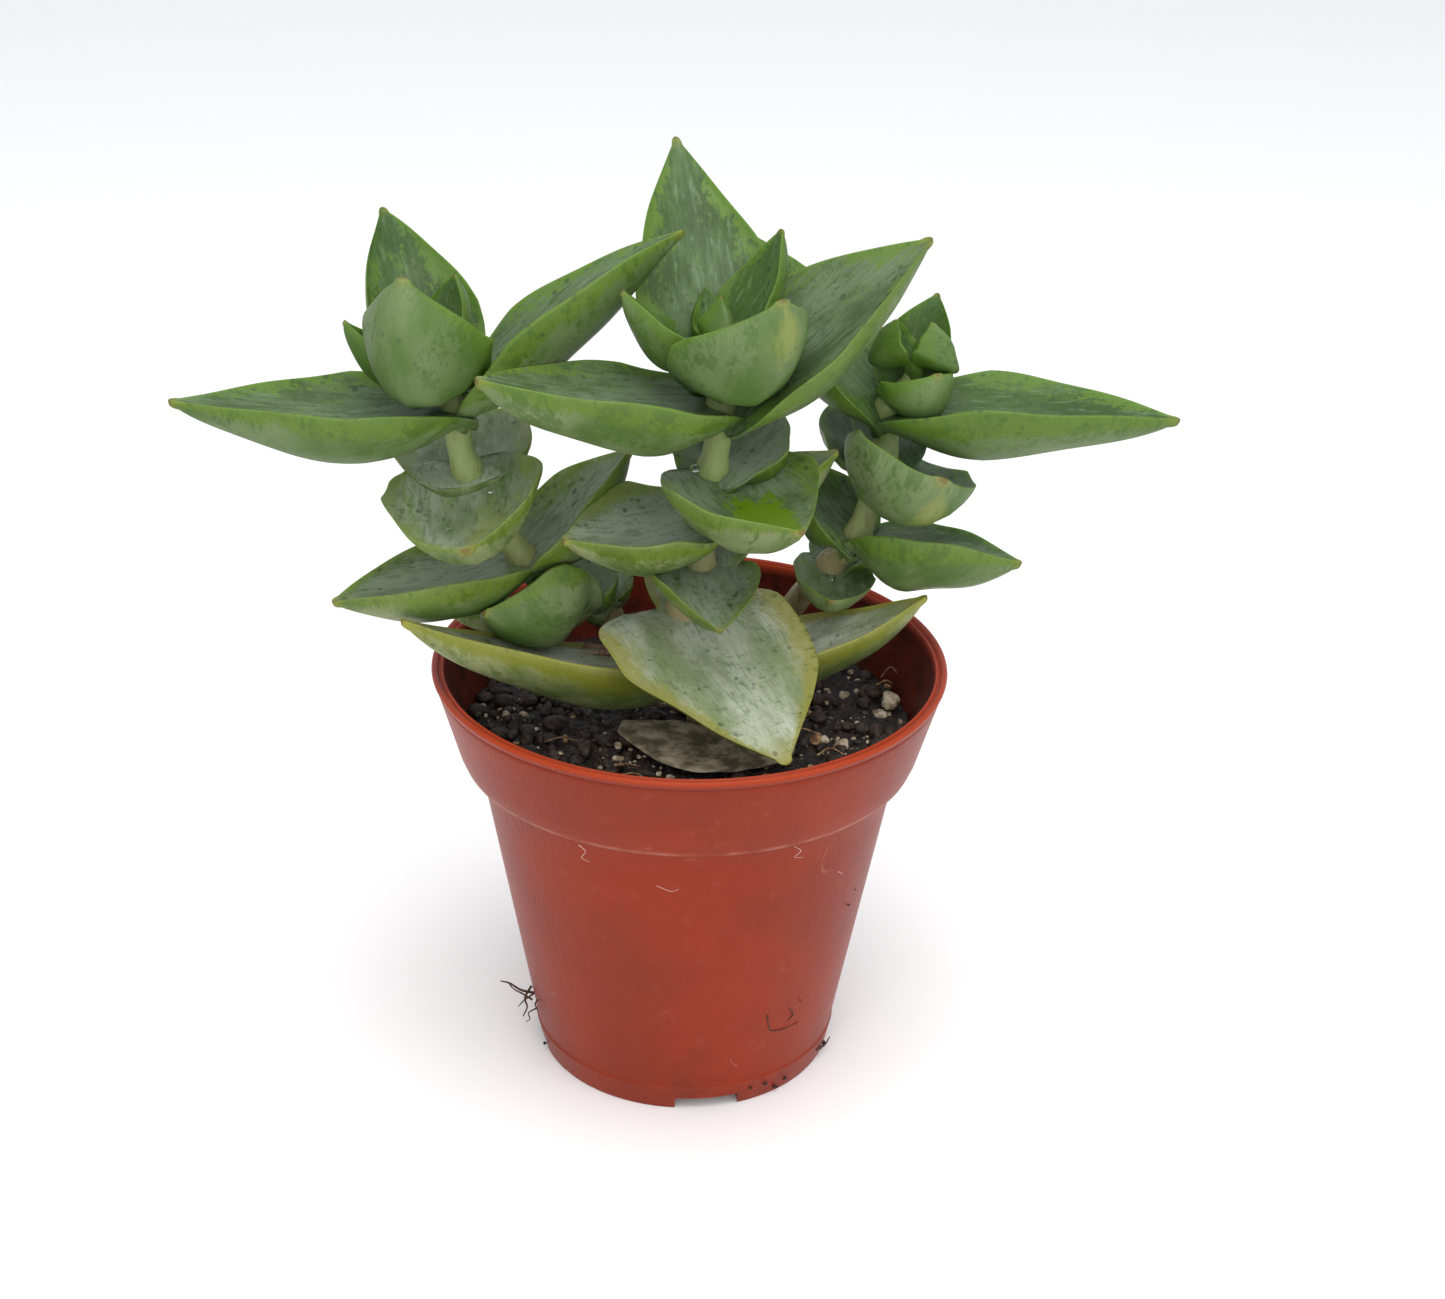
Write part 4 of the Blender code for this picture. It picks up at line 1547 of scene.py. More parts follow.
class Pot:
    """The nursery pot: tapered body, stepped collar, beaded lip, notched foot."""

    def __init__(self, sizes: PotSizes, palette: Palette) -> None:
        """Keep the pot's sizes and the shared materials."""
        self.sizes = sizes
        self.palette = palette

    def outside(self) -> list[tuple[float, float]]:
        """Draw the wall's outside, from the foot over the shoulder's step to the line below the lip.

        Returns:
            Radii and heights in millimetres.
        """
        s = self.sizes
        top, lip = s.shoulder, s.height
        foot = [(s.foot - 0.3, 0.0), (s.foot - 0.08, 0.08), (s.foot, 0.3), (s.body(2.7), 2.7)]
        foot += [(s.body(2.95) + 0.02, 2.95), (s.body(3.1) - 0.12, 3.1), (s.body(3.5) - s.recess, 3.5)]
        body = [(s.body(height) - s.recess, height) for height in np.linspace(6.0, top - 2.0, 12)]
        step = [
            (s.body_top - s.recess, top - 0.9), (s.body_top - 0.02, top - 0.45),
            (s.body_top + 0.35, top - 0.12), (s.collar_foot - 0.35, top),
            (s.collar_foot - 0.1, top + 0.12), (s.collar_foot, top + 0.4),
        ]
        collar = [(s.band(height), height) for height in np.linspace(top + 1.2, lip - 1.6, 6)]
        line = [(s.band(lip - low) - cut, lip - low) for low, cut in ((1.2, 0.04), (1.05, 0.16), (0.9, 0.0))]
        return foot + body + step + collar + line

    def profile(self) -> np.ndarray:
        """Draw the whole wall, from under the floor round the lip to above it.

        Returns:
            Radii and heights in millimetres, n by 2.
        """
        s = self.sizes
        top, lip = s.shoulder, s.height
        hollow = s.foot - s.foot_wall
        floor = s.floor_lift + s.floor
        under = [(hollow - 0.3, s.floor_lift), (hollow, s.floor_lift - 0.3)]
        under += [(hollow, 0.15), (hollow + 0.15, 0.0)]
        bead = [
            (s.rim - 0.34 + 0.34 * math.cos(angle), lip - 0.36 + 0.36 * math.sin(angle))
            for angle in np.radians([0, 25, 50, 75, 100, 125, 150])
        ]
        dips = ((0.78, 0.42), (0.92, 0.40), (1.02, 0.22), (1.18, 0.18), (1.32, 0.34))
        groove = [(s.rim - inward, lip - low) for inward, low in dips]
        inside = [(s.band(lip - 1.4) - s.wall - 0.1, lip - 1.4)]
        inside += [(s.band(height) - s.wall, height) for height in np.linspace(lip - 3.0, top + 2.6, 4)]
        inside += [
            (s.band(top + 1.7) - s.wall, top + 1.7), (s.body(top + 0.5) - s.wall, top + 0.5),
            (s.body(floor + 0.8) - s.wall, floor + 0.7), (s.body(floor) - s.wall - 0.6, floor),
        ]
        return np.array(under + self.outside() + bead + groove + inside)

    def build(self) -> list[bpy.types.Object]:
        """Spin the profile, cut the foot's notches and the drain holes, and hand the pot to the frame.

        Returns:
            The pot alone.
        """
        s = self.sizes
        profile = self.profile()
        angle = np.linspace(0.0, math.tau, s.sides, endpoint=False)
        ring = np.stack([np.cos(angle), np.sin(angle)], axis=-1)
        points = np.concatenate([
            profile[:, None, :1] * ring[None, :, :],
            np.broadcast_to(profile[:, None, 1:], (len(profile), s.sides, 1)),
        ], axis=-1).reshape(-1, 3)
        poles = np.array([[0.0, 0.0, s.floor_lift], [0.0, 0.0, s.floor_lift + s.floor]])
        parts = MeshParts()
        parts.add(np.concatenate([points, poles]) * MM, tube_faces(len(profile), s.sides))
        made = parts.to_object("pot_shell", [self.palette.pot])
        self.cut(made)
        made.data.polygons.foreach_set("use_smooth", np.ones(len(made.data.polygons), dtype=bool))
        made.data.set_sharp_from_angle(angle=math.radians(s.sharp_angle))
        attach(made, ROOT_BODY)
        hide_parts("pot")
        return [made]

    def cut(self, shell: bpy.types.Object) -> None:
        """Cut the notches and the drain holes in one Boolean step.

        Args:
            shell: The spun pot, whose mesh is replaced by the cut one.
        """
        s = self.sizes
        tools = bpy.data.collections.new("pot_cutters")
        bpy.context.scene.collection.children.link(tools)
        box = Matrix.Diagonal((s.notch_depth * MM, s.notch_width * MM, 2.0 * s.notch_height * MM, 1.0))
        for heading in s.notches:
            turn = Matrix.Rotation(math.radians(heading), 4, "Z")
            mesh = bmesh.new()
            place = turn @ Matrix.Translation((s.foot * MM, 0.0, 0.0)) @ box
            bmesh.ops.create_cube(mesh, size=1.0, matrix=place)
            tools.objects.link(bpy.data.objects.new(f"notch_{heading:.0f}", mesh_data(mesh, "notch")))
            turn = Matrix.Rotation(math.radians(heading + 45.0), 4, "Z")
            place = turn @ Matrix.Translation((s.drain_ring * MM, 0.0, s.drain_height * MM))
            mesh = bmesh.new()
            bmesh.ops.create_cone(
                mesh, cap_ends=True, segments=32, radius1=s.drain * MM, radius2=s.drain * MM,
                depth=s.drain_depth * MM, matrix=place,
            )
            tools.objects.link(bpy.data.objects.new(f"drain_{heading:.0f}", mesh_data(mesh, "drain")))
        modifier = shell.modifiers.new("Cuts", "BOOLEAN")
        modifier.operation = "DIFFERENCE"
        modifier.operand_type = "COLLECTION"
        modifier.collection = tools
        modifier.solver = "EXACT"
        graph = bpy.context.evaluated_depsgraph_get()
        cut = bpy.data.meshes.new_from_object(shell.evaluated_get(graph))
        shell.modifiers.clear()
        shell.data = cut
        for tool in list(tools.objects):
            bpy.data.objects.remove(tool)
        bpy.data.collections.remove(tools)


@dataclass(frozen=True)
class SoilSizes:
    """The soil's sizes in millimetres.

    The skirt is a row of radii and heights from the bottom up. Waves are counted in radians for a
    millimetre, from the longest to the shortest.
    """

    level: float = 39.2
    mound: float = 1.6
    mound_reach: float = 26.6
    relief: float = 1.1
    waves: int = 46
    longest: float = 0.4
    shortest: float = 4.2
    wave_share: float = 9.0
    skirt: tuple[tuple[float, float], ...] = ((20.3, 30.0), (21.6, 37.3))
    reach: float = 24.05
    rings: int = 90
    sides: int = 260
    crumbs: int = 760
    grains: int = 520
    scatter_reach: float = 23.3
    lump_rings: int = 7
    lump_sides: int = 10


class Soil:
    """The soil's crumbly top, its skirt inside the pot, and the loose matter on it."""

    def __init__(self, sizes: SoilSizes, palette: Palette) -> None:
        """Keep what the soil is built from, and draw its waves.

        Args:
            sizes: The soil's sizes.
            palette: The shared materials.
        """
        self.sizes = sizes
        self.palette = palette
        self.rng = np.random.default_rng(SEED)
        steps = np.linspace(sizes.longest, sizes.shortest, sizes.waves)[:, None]
        self.waves = self.rng.uniform(-1.0, 1.0, (sizes.waves, 2)) * steps
        self.phases = self.rng.uniform(0.0, math.tau, sizes.waves)

    def height(self, x: np.ndarray, y: np.ndarray) -> np.ndarray:
        """Raise the soil: a low mound, and folded waves that make rounded clods.

        Each wave is one minus the size of a sine, so that its crests are round and its troughs are
        sharp creases, and finer waves are lower.

        Args:
            x: Places across, in millimetres.
            y: Places in depth, in millimetres.

        Returns:
            Heights in millimetres.
        """
        s = self.sizes
        radius = np.hypot(x, y) / s.mound_reach
        total = np.zeros_like(x)
        for (across, deep), phase in zip(self.waves, self.phases):
            fold = 1.0 - 2.0 * np.abs(np.sin(across * x + deep * y + phase))
            total += fold / (1.0 + math.hypot(across, deep))
        fade = np.clip((1.0 - radius) * 9.0, 0.0, 1.0)
        return s.level + s.mound * (1.0 - radius ** 2) + s.relief * (total / s.wave_share) * fade

    def surface(self) -> bpy.types.Object:
        """Build the top as a disc of rings, closed by a skirt and a bottom inside the pot.

        Returns:
            The soil.
        """
        s = self.sizes
        angle = np.linspace(0.0, math.tau, s.sides, endpoint=False)
        radius = np.linspace(1.0, 0.004, s.rings) * s.reach
        x = radius[:, None] * np.cos(angle)
        y = radius[:, None] * np.sin(angle)
        top = np.stack([x, y, self.height(x, y)], axis=-1)
        skirt = np.array([
            np.stack([wide * np.cos(angle), wide * np.sin(angle), np.full(s.sides, height)], axis=-1)
            for wide, height in s.skirt
        ])
        points = np.concatenate([skirt, top]).reshape(-1, 3)
        centre = self.height(np.zeros(1), np.zeros(1))[0]
        poles = np.array([[0.0, 0.0, s.skirt[0][1]], [0.0, 0.0, centre]])
        parts = MeshParts()
        parts.add(np.concatenate([points, poles]) * MM, tube_faces(s.rings + len(s.skirt), s.sides))
        return parts.to_object("soil_surface", [self.palette.soil])

    def lumps(self, name: str, places: np.ndarray, sizes: np.ndarray, material: bpy.types.Material,
              flat: float = 0.7, ruggedness: float = 0.16) -> bpy.types.Object:
        """Scatter rough lumps, as one object.

        Each lump is a ball whose radius is scaled by three sine waves over its own direction.

        Args:
            name: The object's name.
            places: Centres in millimetres, n by 3.
            sizes: Radii in millimetres.
            material: Their material.
            flat: Height as a share of width.
            ruggedness: How far the three waves push the surface.

        Returns:
            The object.
        """
        rings, around = self.sizes.lump_rings, self.sizes.lump_sides
        polar = np.linspace(0.0, math.pi, rings + 2)[1:-1]
        turn = np.linspace(0.0, math.tau, around, endpoint=False)
        ball = np.stack([
            np.sin(polar)[:, None] * np.cos(turn), np.sin(polar)[:, None] * np.sin(turn),
            np.broadcast_to(-np.cos(polar)[:, None], (rings, around)),
        ], axis=-1).reshape(-1, 3)
        ball = np.concatenate([ball, [[0.0, 0.0, -1.0], [0.0, 0.0, 1.0]]])
        faces = tube_faces(rings, around)
        parts = MeshParts()
        for place, size in zip(places, sizes):
            push = self.rng.normal(0.0, 1.6, (3, 3))
            rough = 1.0 + ruggedness * np.sin(ball @ push.T + self.rng.uniform(0, math.tau, 3)).sum(axis=1)
            shape = ball * rough[:, None] * self.rng.uniform(0.65, 1.2, 3) * size
            shape[:, 2] *= flat
            parts.add((shape + place) * MM, faces)
        return parts.to_object(name, [material])

    def scatter(self, count: int, low: float, high: float) -> tuple[np.ndarray, np.ndarray]:
        """Draw places on the soil and sizes for crumbs, of which most are small.

        Args:
            count: Number of crumbs.
            low: The smallest radius in millimetres.
            high: The largest radius in millimetres.

        Returns:
            Centres, n by 3, and radii, in millimetres.
        """
        radius = self.sizes.scatter_reach * np.sqrt(self.rng.uniform(0.0, 1.0, count))
        angle = self.rng.uniform(0.0, math.tau, count)
        x, y = radius * np.cos(angle), radius * np.sin(angle)
        sizes = low + (high - low) * self.rng.uniform(0.0, 1.0, count) ** 2.5
        return np.stack([x, y, self.height(x, y) + sizes * 0.25], axis=-1), sizes

    def placed(self, spots: tuple[Triple, ...]) -> tuple[np.ndarray, np.ndarray]:
        """Seat listed lumps on the soil.

        Args:
            spots: Each lump's x, y and radius in millimetres.

        Returns:
            Centres, n by 3, and radii, in millimetres.
        """
        rows = np.array(spots)
        z = self.height(rows[:, 0], rows[:, 1]) + rows[:, 2] * 0.45
        return np.column_stack([rows[:, :2], z]), rows[:, 2]

    def build(self) -> list[bpy.types.Object]:
        """Build the soil and what lies in it.

        Returns:
            The soil and its loose matter.
        """
        made = self.surface()
        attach(made, ROOT_BODY)
        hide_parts("soil")
        look = self.palette
        loose = [
            self.lumps("peat_crumbs", *self.scatter(self.sizes.crumbs, 0.2, 1.25), look.crumb),
            self.lumps("pale_grains", *self.scatter(self.sizes.grains, 0.09, 0.52), look.perlite),
            self.lumps("perlite_lumps", *self.placed(PERLITE_SPOTS), look.perlite, 0.85, 0.26),
            self.lumps("bark_bits", *self.placed(BARK_SPOTS), look.bark, 0.6),
        ]
        for piece in loose:
            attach(piece, ROOT_BODY)
        return [made, *loose]


PERLITE_SPOTS = (
    (22.0, 4.7, 1.35), (21.2, 3.6, 0.7), (16.4, -5.3, 0.65), (17.1, 6.8, 0.5), (12.4, 2.2, 0.45),
    (-10.5, -4.6, 0.35), (-15.6, 4.6, 0.4), (-7.3, -8.2, 0.4),
)
BARK_SPOTS = (
    (13.5, -5.0, 0.95), (12.9, -3.9, 0.5), (-13.0, -5.8, 0.6), (12.8, 0.7, 0.6), (22.0, 9.0, 0.6),
    (-22.3, 5.4, 0.5), (18.6, -1.0, 0.45), (-18.2, -6.4, 0.4),
)


@dataclass(frozen=True)
class Thread:
    """A thin root, fibre or squiggle of lint, as knots in millimetres and a thickness."""

    knots: tuple[Triple, ...]
    radius: float = 0.12


ROOTS = (
    Thread(((-17.0, -3.9, 6.2), (-18.4, -4.4, 6.9), (-19.6, -4.6, 7.9), (-20.6, -4.8, 8.3)), 0.16),
    Thread(((-17.1, -4.4, 5.6), (-18.3, -4.2, 6.3), (-19.2, -3.6, 6.4), (-19.9, -3.3, 7.1)), 0.12),
    Thread(((-17.2, -4.0, 7.2), (-17.9, -4.6, 6.0), (-17.7, -4.4, 4.6), (-18.2, -4.2, 3.2)), 0.15),
    Thread(((-16.9, -4.6, 6.6), (-18.0, -5.4, 6.1), (-18.6, -5.2, 5.2)), 0.12),
    Thread(((-16.6, -5.2, 5.0), (-17.5, -5.0, 4.2), (-17.4, -4.4, 3.0), (-17.9, -4.0, 2.3)), 0.10),
    Thread(((-16.2, -7.2, 7.6), (-16.5, -7.5, 7.1), (-16.2, -7.7, 6.4)), 0.13),
    Thread((
        (9.1, -16.0, 12.3), (9.3, -15.7, 11.0), (9.6, -15.3, 9.8), (10.9, -14.3, 9.3), (12.6, -12.7, 9.2),
    ), 0.09),
    Thread(((11.6, -14.4, 12.0), (12.0, -13.8, 10.9), (11.4, -14.1, 10.2)), 0.08),
    Thread(((15.0, -7.2, 1.6), (16.0, -5.9, 1.4), (16.6, -5.0, 1.9)), 0.14),
)
LINT = (
    Thread(((-10.6, -21.9, 36.5), (-9.9, -22.2, 35.9), (-10.3, -21.9, 35.0), (-9.5, -22.1, 34.6)), 0.034),
    Thread(((11.2, -20.1, 35.8), (11.9, -19.8, 35.1), (11.3, -19.9, 34.4), (12.2, -19.2, 34.0)), 0.034),
    Thread(((3.6, -22.9, 36.6), (4.4, -22.8, 36.2), (5.3, -22.5, 36.4)), 0.034),
    Thread(((-2.6, -21.0, 31.8), (-1.2, -21.1, 31.2), (-0.4, -20.9, 31.5)), 0.034),
    Thread(((16.0, -14.2, 29.4), (16.6, -13.4, 28.6)), 0.034),
)
FIBRES = (
    Thread(((21.2, 9.2, 40.5), (22.2, 9.6, 41.6), (23.0, 9.3, 41.0)), 0.10),
    Thread(((10.6, -4.2, 40.9), (12.4, -5.4, 41.5), (14.2, -5.1, 40.6)), 0.11),
    Thread(((-15.2, -6.9, 40.0), (-13.4, -7.6, 41.0), (-11.6, -7.3, 40.5)), 0.10),
    Thread(((-19.5, 6.5, 39.8), (-18.4, 7.6, 40.8), (-17.0, 7.4, 40.5)), 0.10),
    Thread(((-2.0, 12.6, 40.6), (0.6, 13.8, 41.7), (3.0, 13.2, 40.8)), 0.11),
    Thread(((5.0, 18.2, 40.0), (3.2, 19.6, 40.7), (0.8, 19.2, 39.9)), 0.10),
    Thread(((-12.0, 15.0, 40.0), (-13.6, 13.2, 40.9), (-13.0, 11.4, 40.5)), 0.11),
    Thread(((13.0, 13.0, 40.4), (15.0, 14.2, 40.9), (16.2, 12.8, 40.1)), 0.10),
    Thread(((-7.5, -12.5, 40.5), (-6.0, -13.2, 41.1), (-4.6, -12.8, 40.6)), 0.16),
    Thread(((-6.8, -14.2, 40.3), (-5.2, -14.6, 40.8), (-3.9, -15.4, 40.4)), 0.13),
    Thread(((13.6, -9.2, 40.4), (15.0, -8.6, 41.0), (16.4, -9.0, 40.5)), 0.15),
    Thread(((20.6, 7.6, 40.3), (21.6, 7.0, 41.2), (22.4, 7.6, 40.5)), 0.13),
)
FOOT_DIRT = (
    (15.4, -5.8, 1.1, 0.40), (15.9, -4.6, 0.8, 0.28), (11.4, -12.1, 1.2, 0.42), (9.2, -14.0, 1.9, 0.34),
    (7.6, -14.9, 1.9, 0.26), (10.4, -13.0, 0.7, 0.30), (12.7, -13.7, 12.7, 0.12), (18.3, -9.9, 24.5, 0.12),
    (17.6, -10.6, 23.0, 0.12), (-15.6, -6.2, 1.0, 0.26), (-4.0, 16.1, 0.8, 0.36), (-12.2, 11.0, 1.0, 0.32),
    (13.2, 9.8, 1.1, 0.30), (-16.4, 3.6, 1.5, 0.24), (2.0, 17.0, 3.4, 0.16),
)
DROPS = (
    (0.3, -6.8, 71.5, 0.55), (6.8, -8.0, 71.9, 0.34), (-19.3, -6.6, 69.9, 0.36), (-20.1, -8.2, 69.0, 0.26),
    (-24.1, -11.9, 66.5, 0.30), (0.4, 0.2, 87.8, 0.28), (14.9, 5.1, 54.2, 0.3), (-3.9, -12.0, 52.6, 0.26),
)


def seat_on_pot(points: np.ndarray, sizes: PotSizes, lift: float) -> np.ndarray:
    """Push points that lie inside the pot's wall out to it.

    Args:
        points: Points in millimetres, n by 3.
        sizes: The pot's sizes.
        lift: Distance from the wall to keep.

    Returns:
        The points, each at least at the wall's own radius for its height.
    """
    height = points[:, 2]
    wall = np.where(height < sizes.shoulder, sizes.body(height) - sizes.recess, sizes.band(height))
    radius = np.hypot(points[:, 0], points[:, 1])
    scale = np.maximum(1.0, (wall + lift) / radius)
    return points * np.stack([scale, scale, np.ones_like(scale)], axis=1)


@dataclass(frozen=True)
class BractSizes:
    """The dry bract's place, half axes, depth and thickness in millimetres."""

    place: Triple = (-9.6, -0.6, 47.2)
    half_length: float = 1.9
    half_width: float = 1.3
    depth: float = 0.8
    thickness: float = 0.22
    rings: int = 8
    around: int = 24


class Dressing:
    """What clings to the pot and plant: roots, lint, dirt, water drops and a dry bract."""

    def __init__(self, soil: Soil, pot: PotSizes, palette: Palette) -> None:
        """Keep what the small things are seated on.

        Args:
            soil: The soil, which also makes lumps.
            pot: The pot's sizes.
            palette: The shared materials.
        """
        self.soil = soil
        self.pot = pot
        self.palette = palette

    def threads(self, name: str, threads: tuple[Thread, ...], material: bpy.types.Material,
                on_pot: bool) -> bpy.types.Object:
        """Sweep a set of threads as one object, thinning towards their far ends.

        Args:
            name: The object's name.
            threads: The threads.
            material: Their material.
            on_pot: Whether knots inside the pot's wall are drawn out to it.

        Returns:
            The object.
        """
        parts = MeshParts()
        for thread in threads:
            path = smooth_path(np.array(thread.knots), 8)
            if on_pot:
                path = seat_on_pot(path, self.pot, thread.radius * 0.4)
            radii = thread.radius * np.linspace(1.0, 0.45, len(path))
            parts.add(*swept_tube(path * MM, radii * MM, 8))
        return parts.to_object(name, [material])

    def bract(self, sizes: BractSizes) -> bpy.types.Object:
        """Build a dry, cupped scale between the stems, as a bowl of two close skins.

        Args:
            sizes: The bract's sizes.

        Returns:
            The bract.
        """
        rings, skin = sizes.rings, sizes.thickness
        angle = np.linspace(0.0, math.tau, sizes.around, endpoint=False)
        share = np.concatenate([np.linspace(0.12, 1.0, rings), np.linspace(0.99, 0.12, rings)])
        lift = np.concatenate([np.zeros(rings), np.full(rings, skin)])
        x = sizes.half_length * share[:, None] * np.cos(angle)
        y = sizes.half_width * share[:, None] * np.sin(angle)
        z = sizes.depth * share[:, None] ** 2 * (1.0 + 0.25 * np.sin(3.0 * angle)) + lift[:, None]
        points = np.stack([x, y, z], axis=-1).reshape(-1, 3)
        points = np.concatenate([points, [[0.0, 0.0, 0.0], [0.0, 0.0, skin]]]) + np.array(sizes.place)
        parts = MeshParts()
        parts.add(points * MM, tube_faces(2 * rings, sizes.around))
        return parts.to_object("dry_bract", [self.palette.bract])

    def build(self) -> list[bpy.types.Object]:
        """Build every small thing and hand it to the frame.

        Returns:
            The pieces.
        """
        look = self.palette
        dirt = np.array(FOOT_DIRT)
        drops = np.array(DROPS)
        flecks = seat_on_pot(dirt[:, :3], self.pot, 0.0)
        made = [
            (self.threads("loose_roots", ROOTS, look.thread, True), Slot.POT),
            (self.threads("lint", LINT, look.lint, True), Slot.POT),
            (self.threads("soil_fibres", FIBRES, look.bark, False), Slot.SOIL),
            (self.soil.lumps("foot_dirt", flecks, dirt[:, 3], look.dirt, 0.8), Slot.SOIL),
            (self.soil.lumps("water_drops", drops[:, :3], drops[:, 3], look.water, 0.6, 0.0), Slot.LEAF),
            (self.bract(BractSizes()), Slot.DRY),
        ]
        for piece, slot in made:
            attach(piece, ROOT_BODY)
        return [piece for piece, _ in made]


@dataclass(frozen=True)
class OldLeafSizes:
    """The withered leaf's sizes in millimetres, with its turn in degrees."""

    centre: tuple[float, float] = (1.6, -10.4)
    length: float = 18.6
    width: float = 9.0
    thickness: float = 0.9
    margin: float = 0.12
    base: float = 41.3
    slope: float = 0.09
    bow: float = 1.4
    turn: float = -14.0
    rings: int = 60
    around: int = 40


class OldLeaf:
    """The withered leaf on the soil: a thin, wrinkled blade that bows to the front."""

    def __init__(self, sizes: OldLeafSizes, palette: Palette) -> None:
        """Keep the leaf's sizes and the shared materials."""
        self.sizes = sizes
        self.palette = palette

    def points(self) -> np.ndarray:
        """Lay out the leaf as a flattened tube.

        Its half width is the sine of the way along, its spine bows to the front at both ends, and
        wrinkles run along it as sines across the width.

        Returns:
            The rings' points and the two ends in millimetres, n by 3.
        """
        s = self.sizes
        along = np.linspace(0.0, 1.0, s.rings)
        angle = np.linspace(0.0, math.tau, s.around, endpoint=False)
        half = s.width / 2 * np.maximum(0.16, np.sin(math.pi * (0.08 + 0.84 * along)))
        across = np.cos(angle)[None, :] * half[:, None]
        x = np.broadcast_to(((along - 0.5) * s.length)[:, None], (s.rings, s.around))
        y = (s.bow * (2.0 * along - 1.0) ** 2)[:, None] + across
        wrinkle = 0.10 * np.sin(across * 4.6 + 3.0 * along[:, None] * 4.0) * np.sin(math.pi * along)[:, None]
        z = s.base + s.thickness / 2 + (s.thickness / 2 - s.margin) * np.sin(angle)[None, :] + wrinkle
        points = np.stack([x, y, z], axis=-1).reshape(-1, 3)
        ends = [[end * (s.length / 2 + 0.05), s.bow, s.base + 0.45] for end in (-1.0, 1.0)]
        points = np.concatenate([points, ends])
        turn = math.radians(s.turn)
        flat = np.array([[math.cos(turn), math.sin(turn)], [-math.sin(turn), math.cos(turn)]])
        points[:, :2] = points[:, :2] @ flat
        points[:, 2] += s.slope * points[:, 1]
        points[:, :2] += np.array(s.centre)
        return points

    def build(self) -> list[bpy.types.Object]:
        """Build the leaf and hand it to the frame.

        Returns:
            The withered leaf alone.
        """
        parts = MeshParts()
        parts.add(self.points() * MM, tube_faces(self.sizes.rings, self.sizes.around))
        made = parts.to_object("withered_leaf", [self.palette.withered])
        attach(made, ROOT_BODY)
        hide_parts("old_leaf")
        return [made]


@dataclass(frozen=True)
class Lamp:
    """A square area light: its place and size in metres, its power in watts and its colour."""

    name: str
    place: Triple
    size: float
    power: float
    colour: Triple


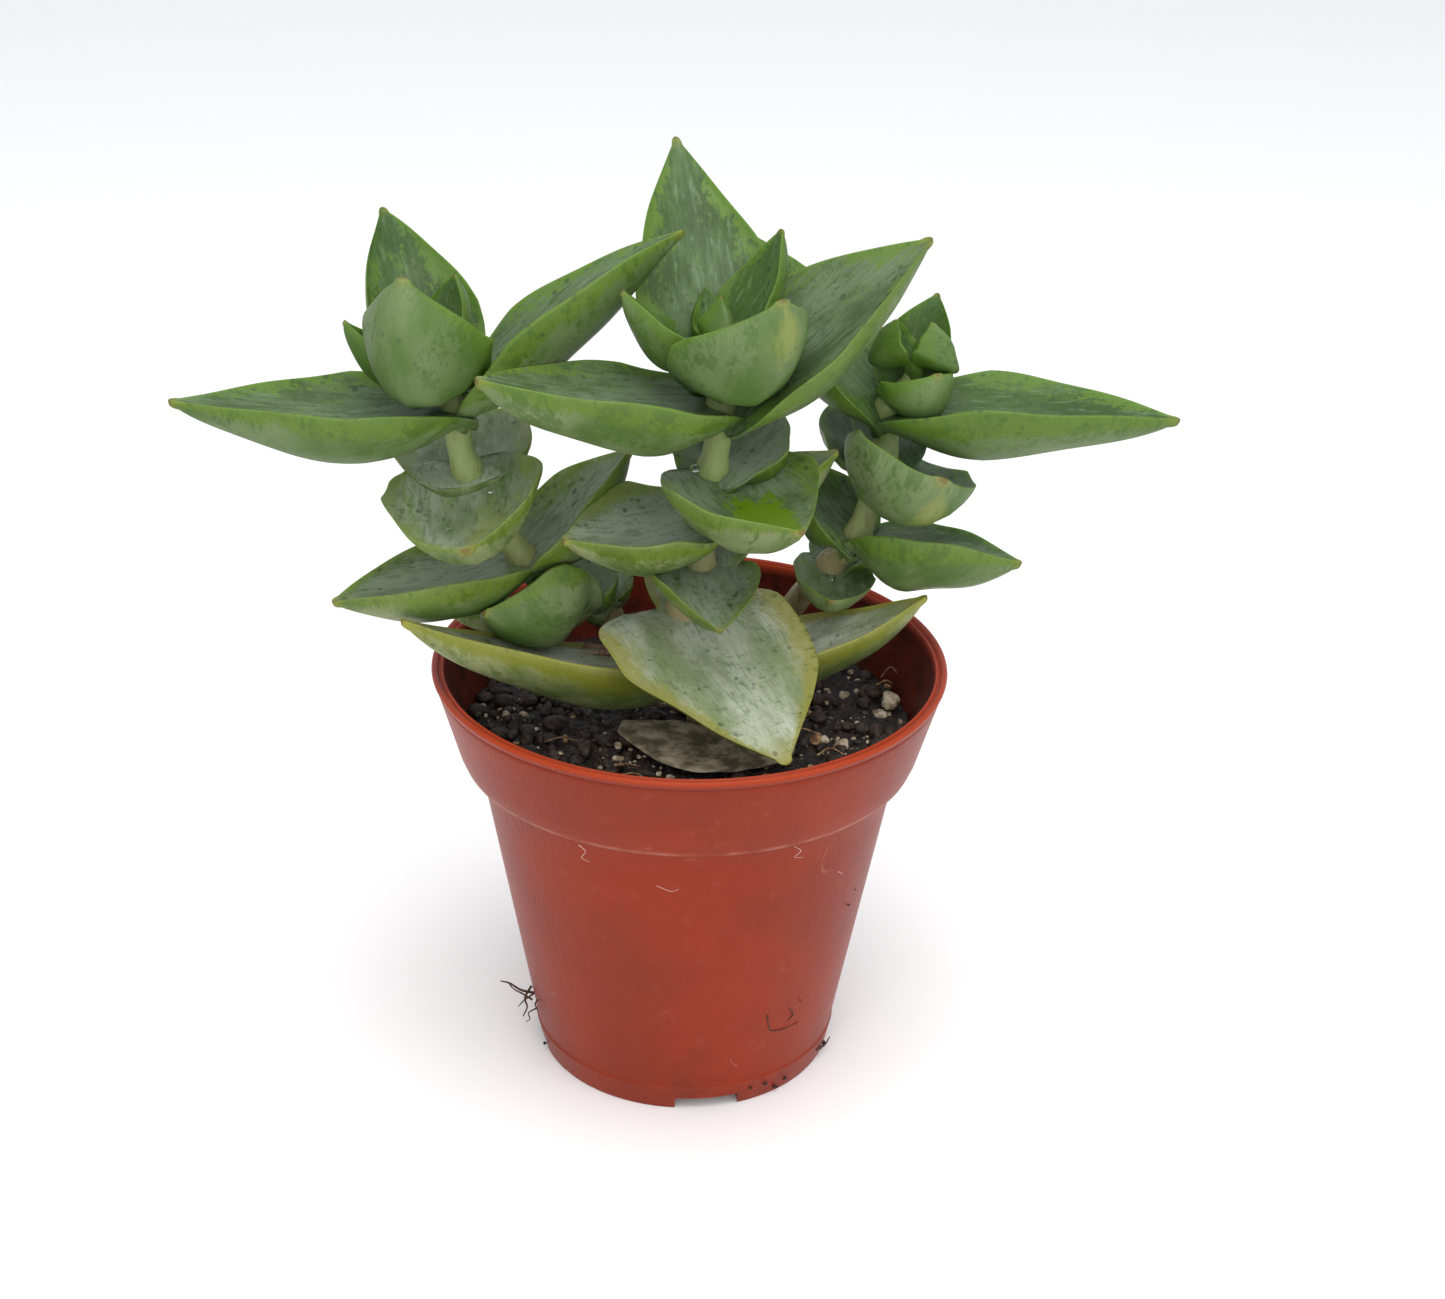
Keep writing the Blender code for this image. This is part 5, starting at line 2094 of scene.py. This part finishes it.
@dataclass(frozen=True)
class Studio:
    """Camera, lights and floor. The camera's target and distance are in millimetres."""

    target: Triple = (3.457, 0.0, 48.006)
    distance: float = 260.0
    elevation: float = math.radians(26.2)
    roll: float = math.radians(1.3)
    focal_pixels: float = 2435.0
    image_width: float = 1445.0
    sensor: float = 36.0
    clip_start: float = 0.01
    aim: Triple = (0.0, 0.0, 0.055)
    lamps: tuple[Lamp, ...] = (
        Lamp("key", (0.04, -0.16, 0.66), 0.5, 2.5, (1.0, 0.98, 0.95)),
        Lamp("fill", (0.5, -0.45, 0.40), 0.6, 0.9, (0.96, 0.98, 1.0)),
        Lamp("front", (-0.05, -0.75, 0.42), 0.7, 2.2, (1.0, 1.0, 0.98)),
    )
    floor_half: float = 3.0
    floor_colour: Colour = (0.93, 0.93, 0.93, 1.0)
    floor_roughness: float = 0.9
    room_colour: Colour = (0.95, 0.97, 1.0, 1.0)
    room_light: float = 0.80

    def camera(self) -> None:
        """Place the camera by its fitted target, distance, elevation and roll."""
        forward = Vector((0.0, math.cos(self.elevation), -math.sin(self.elevation)))
        right = Vector((1.0, 0.0, 0.0))
        up = right.cross(forward)
        data = bpy.data.cameras.new("photo_camera")
        data.sensor_width = self.sensor
        data.lens = self.focal_pixels / self.image_width * self.sensor
        data.clip_start = self.clip_start
        made = linked("photo_camera", data)
        side = right * math.cos(self.roll) + up * math.sin(self.roll)
        top = up * math.cos(self.roll) - right * math.sin(self.roll)
        turn = Matrix((side, top, -forward)).transposed().to_4x4()
        turn.translation = Vector(self.target) * MM - forward * (self.distance * MM)
        made.matrix_world = turn
        bpy.context.scene.camera = made

    def light(self, lamp: Lamp) -> None:
        """Add an area light that looks at the plant.

        Args:
            lamp: The light's settings.
        """
        data = bpy.data.lights.new(lamp.name, "AREA")
        data.size = lamp.size
        data.energy = lamp.power
        data.color = lamp.colour
        made = linked(lamp.name, data)
        made.location = lamp.place
        aim = Vector(self.aim) - Vector(lamp.place)
        made.rotation_euler = aim.to_track_quat("-Z", "Y").to_euler()

    def floor(self) -> None:
        """Lay the pale floor."""
        mesh = bmesh.new()
        bmesh.ops.create_grid(mesh, x_segments=1, y_segments=1, size=self.floor_half)
        data = mesh_data(mesh, "floor")
        material, board, shader = new_material("pale_floor")
        board.dress(shader, Base_Color=self.floor_colour, Roughness=self.floor_roughness)
        data.materials.append(material)
        made = linked("floor", data)

    def world(self) -> None:
        """Fill the room with even white light."""
        made = bpy.data.worlds.new("studio")
        made.use_nodes = True
        background = made.node_tree.nodes["Background"]
        background.inputs["Color"].default_value = self.room_colour
        background.inputs["Strength"].default_value = self.room_light
        bpy.context.scene.world = made

    def build(self) -> None:
        """Set up the whole studio."""
        self.camera()
        self.floor()
        self.world()
        for lamp in self.lamps:
            self.light(lamp)
        bpy.context.scene.view_settings.view_transform = "Standard"
        log.info("set up the studio")


def main() -> None:
    """Build the sub-assemblies in order, report each of their pieces and set up the studio."""
    logging.basicConfig(level=logging.INFO)
    palette = Palette()
    pot = PotSizes()
    soil = Soil(SoilSizes(), palette)
    stems = [LeafyStem(plan, palette, LeafForm(), StalkForm()) for plan in (LEFT, MIDDLE, RIGHT)]
    loose = [Dressing(soil, pot, palette), OldLeaf(OldLeafSizes(), palette)]
    for maker in [*stems, Pot(pot, palette), soil, *loose]:
        for piece in maker.build():
            log.info("built %s with %d polygons", piece.name, len(piece.data.polygons))
    Studio().build()


if __name__ == "__main__":
    main()
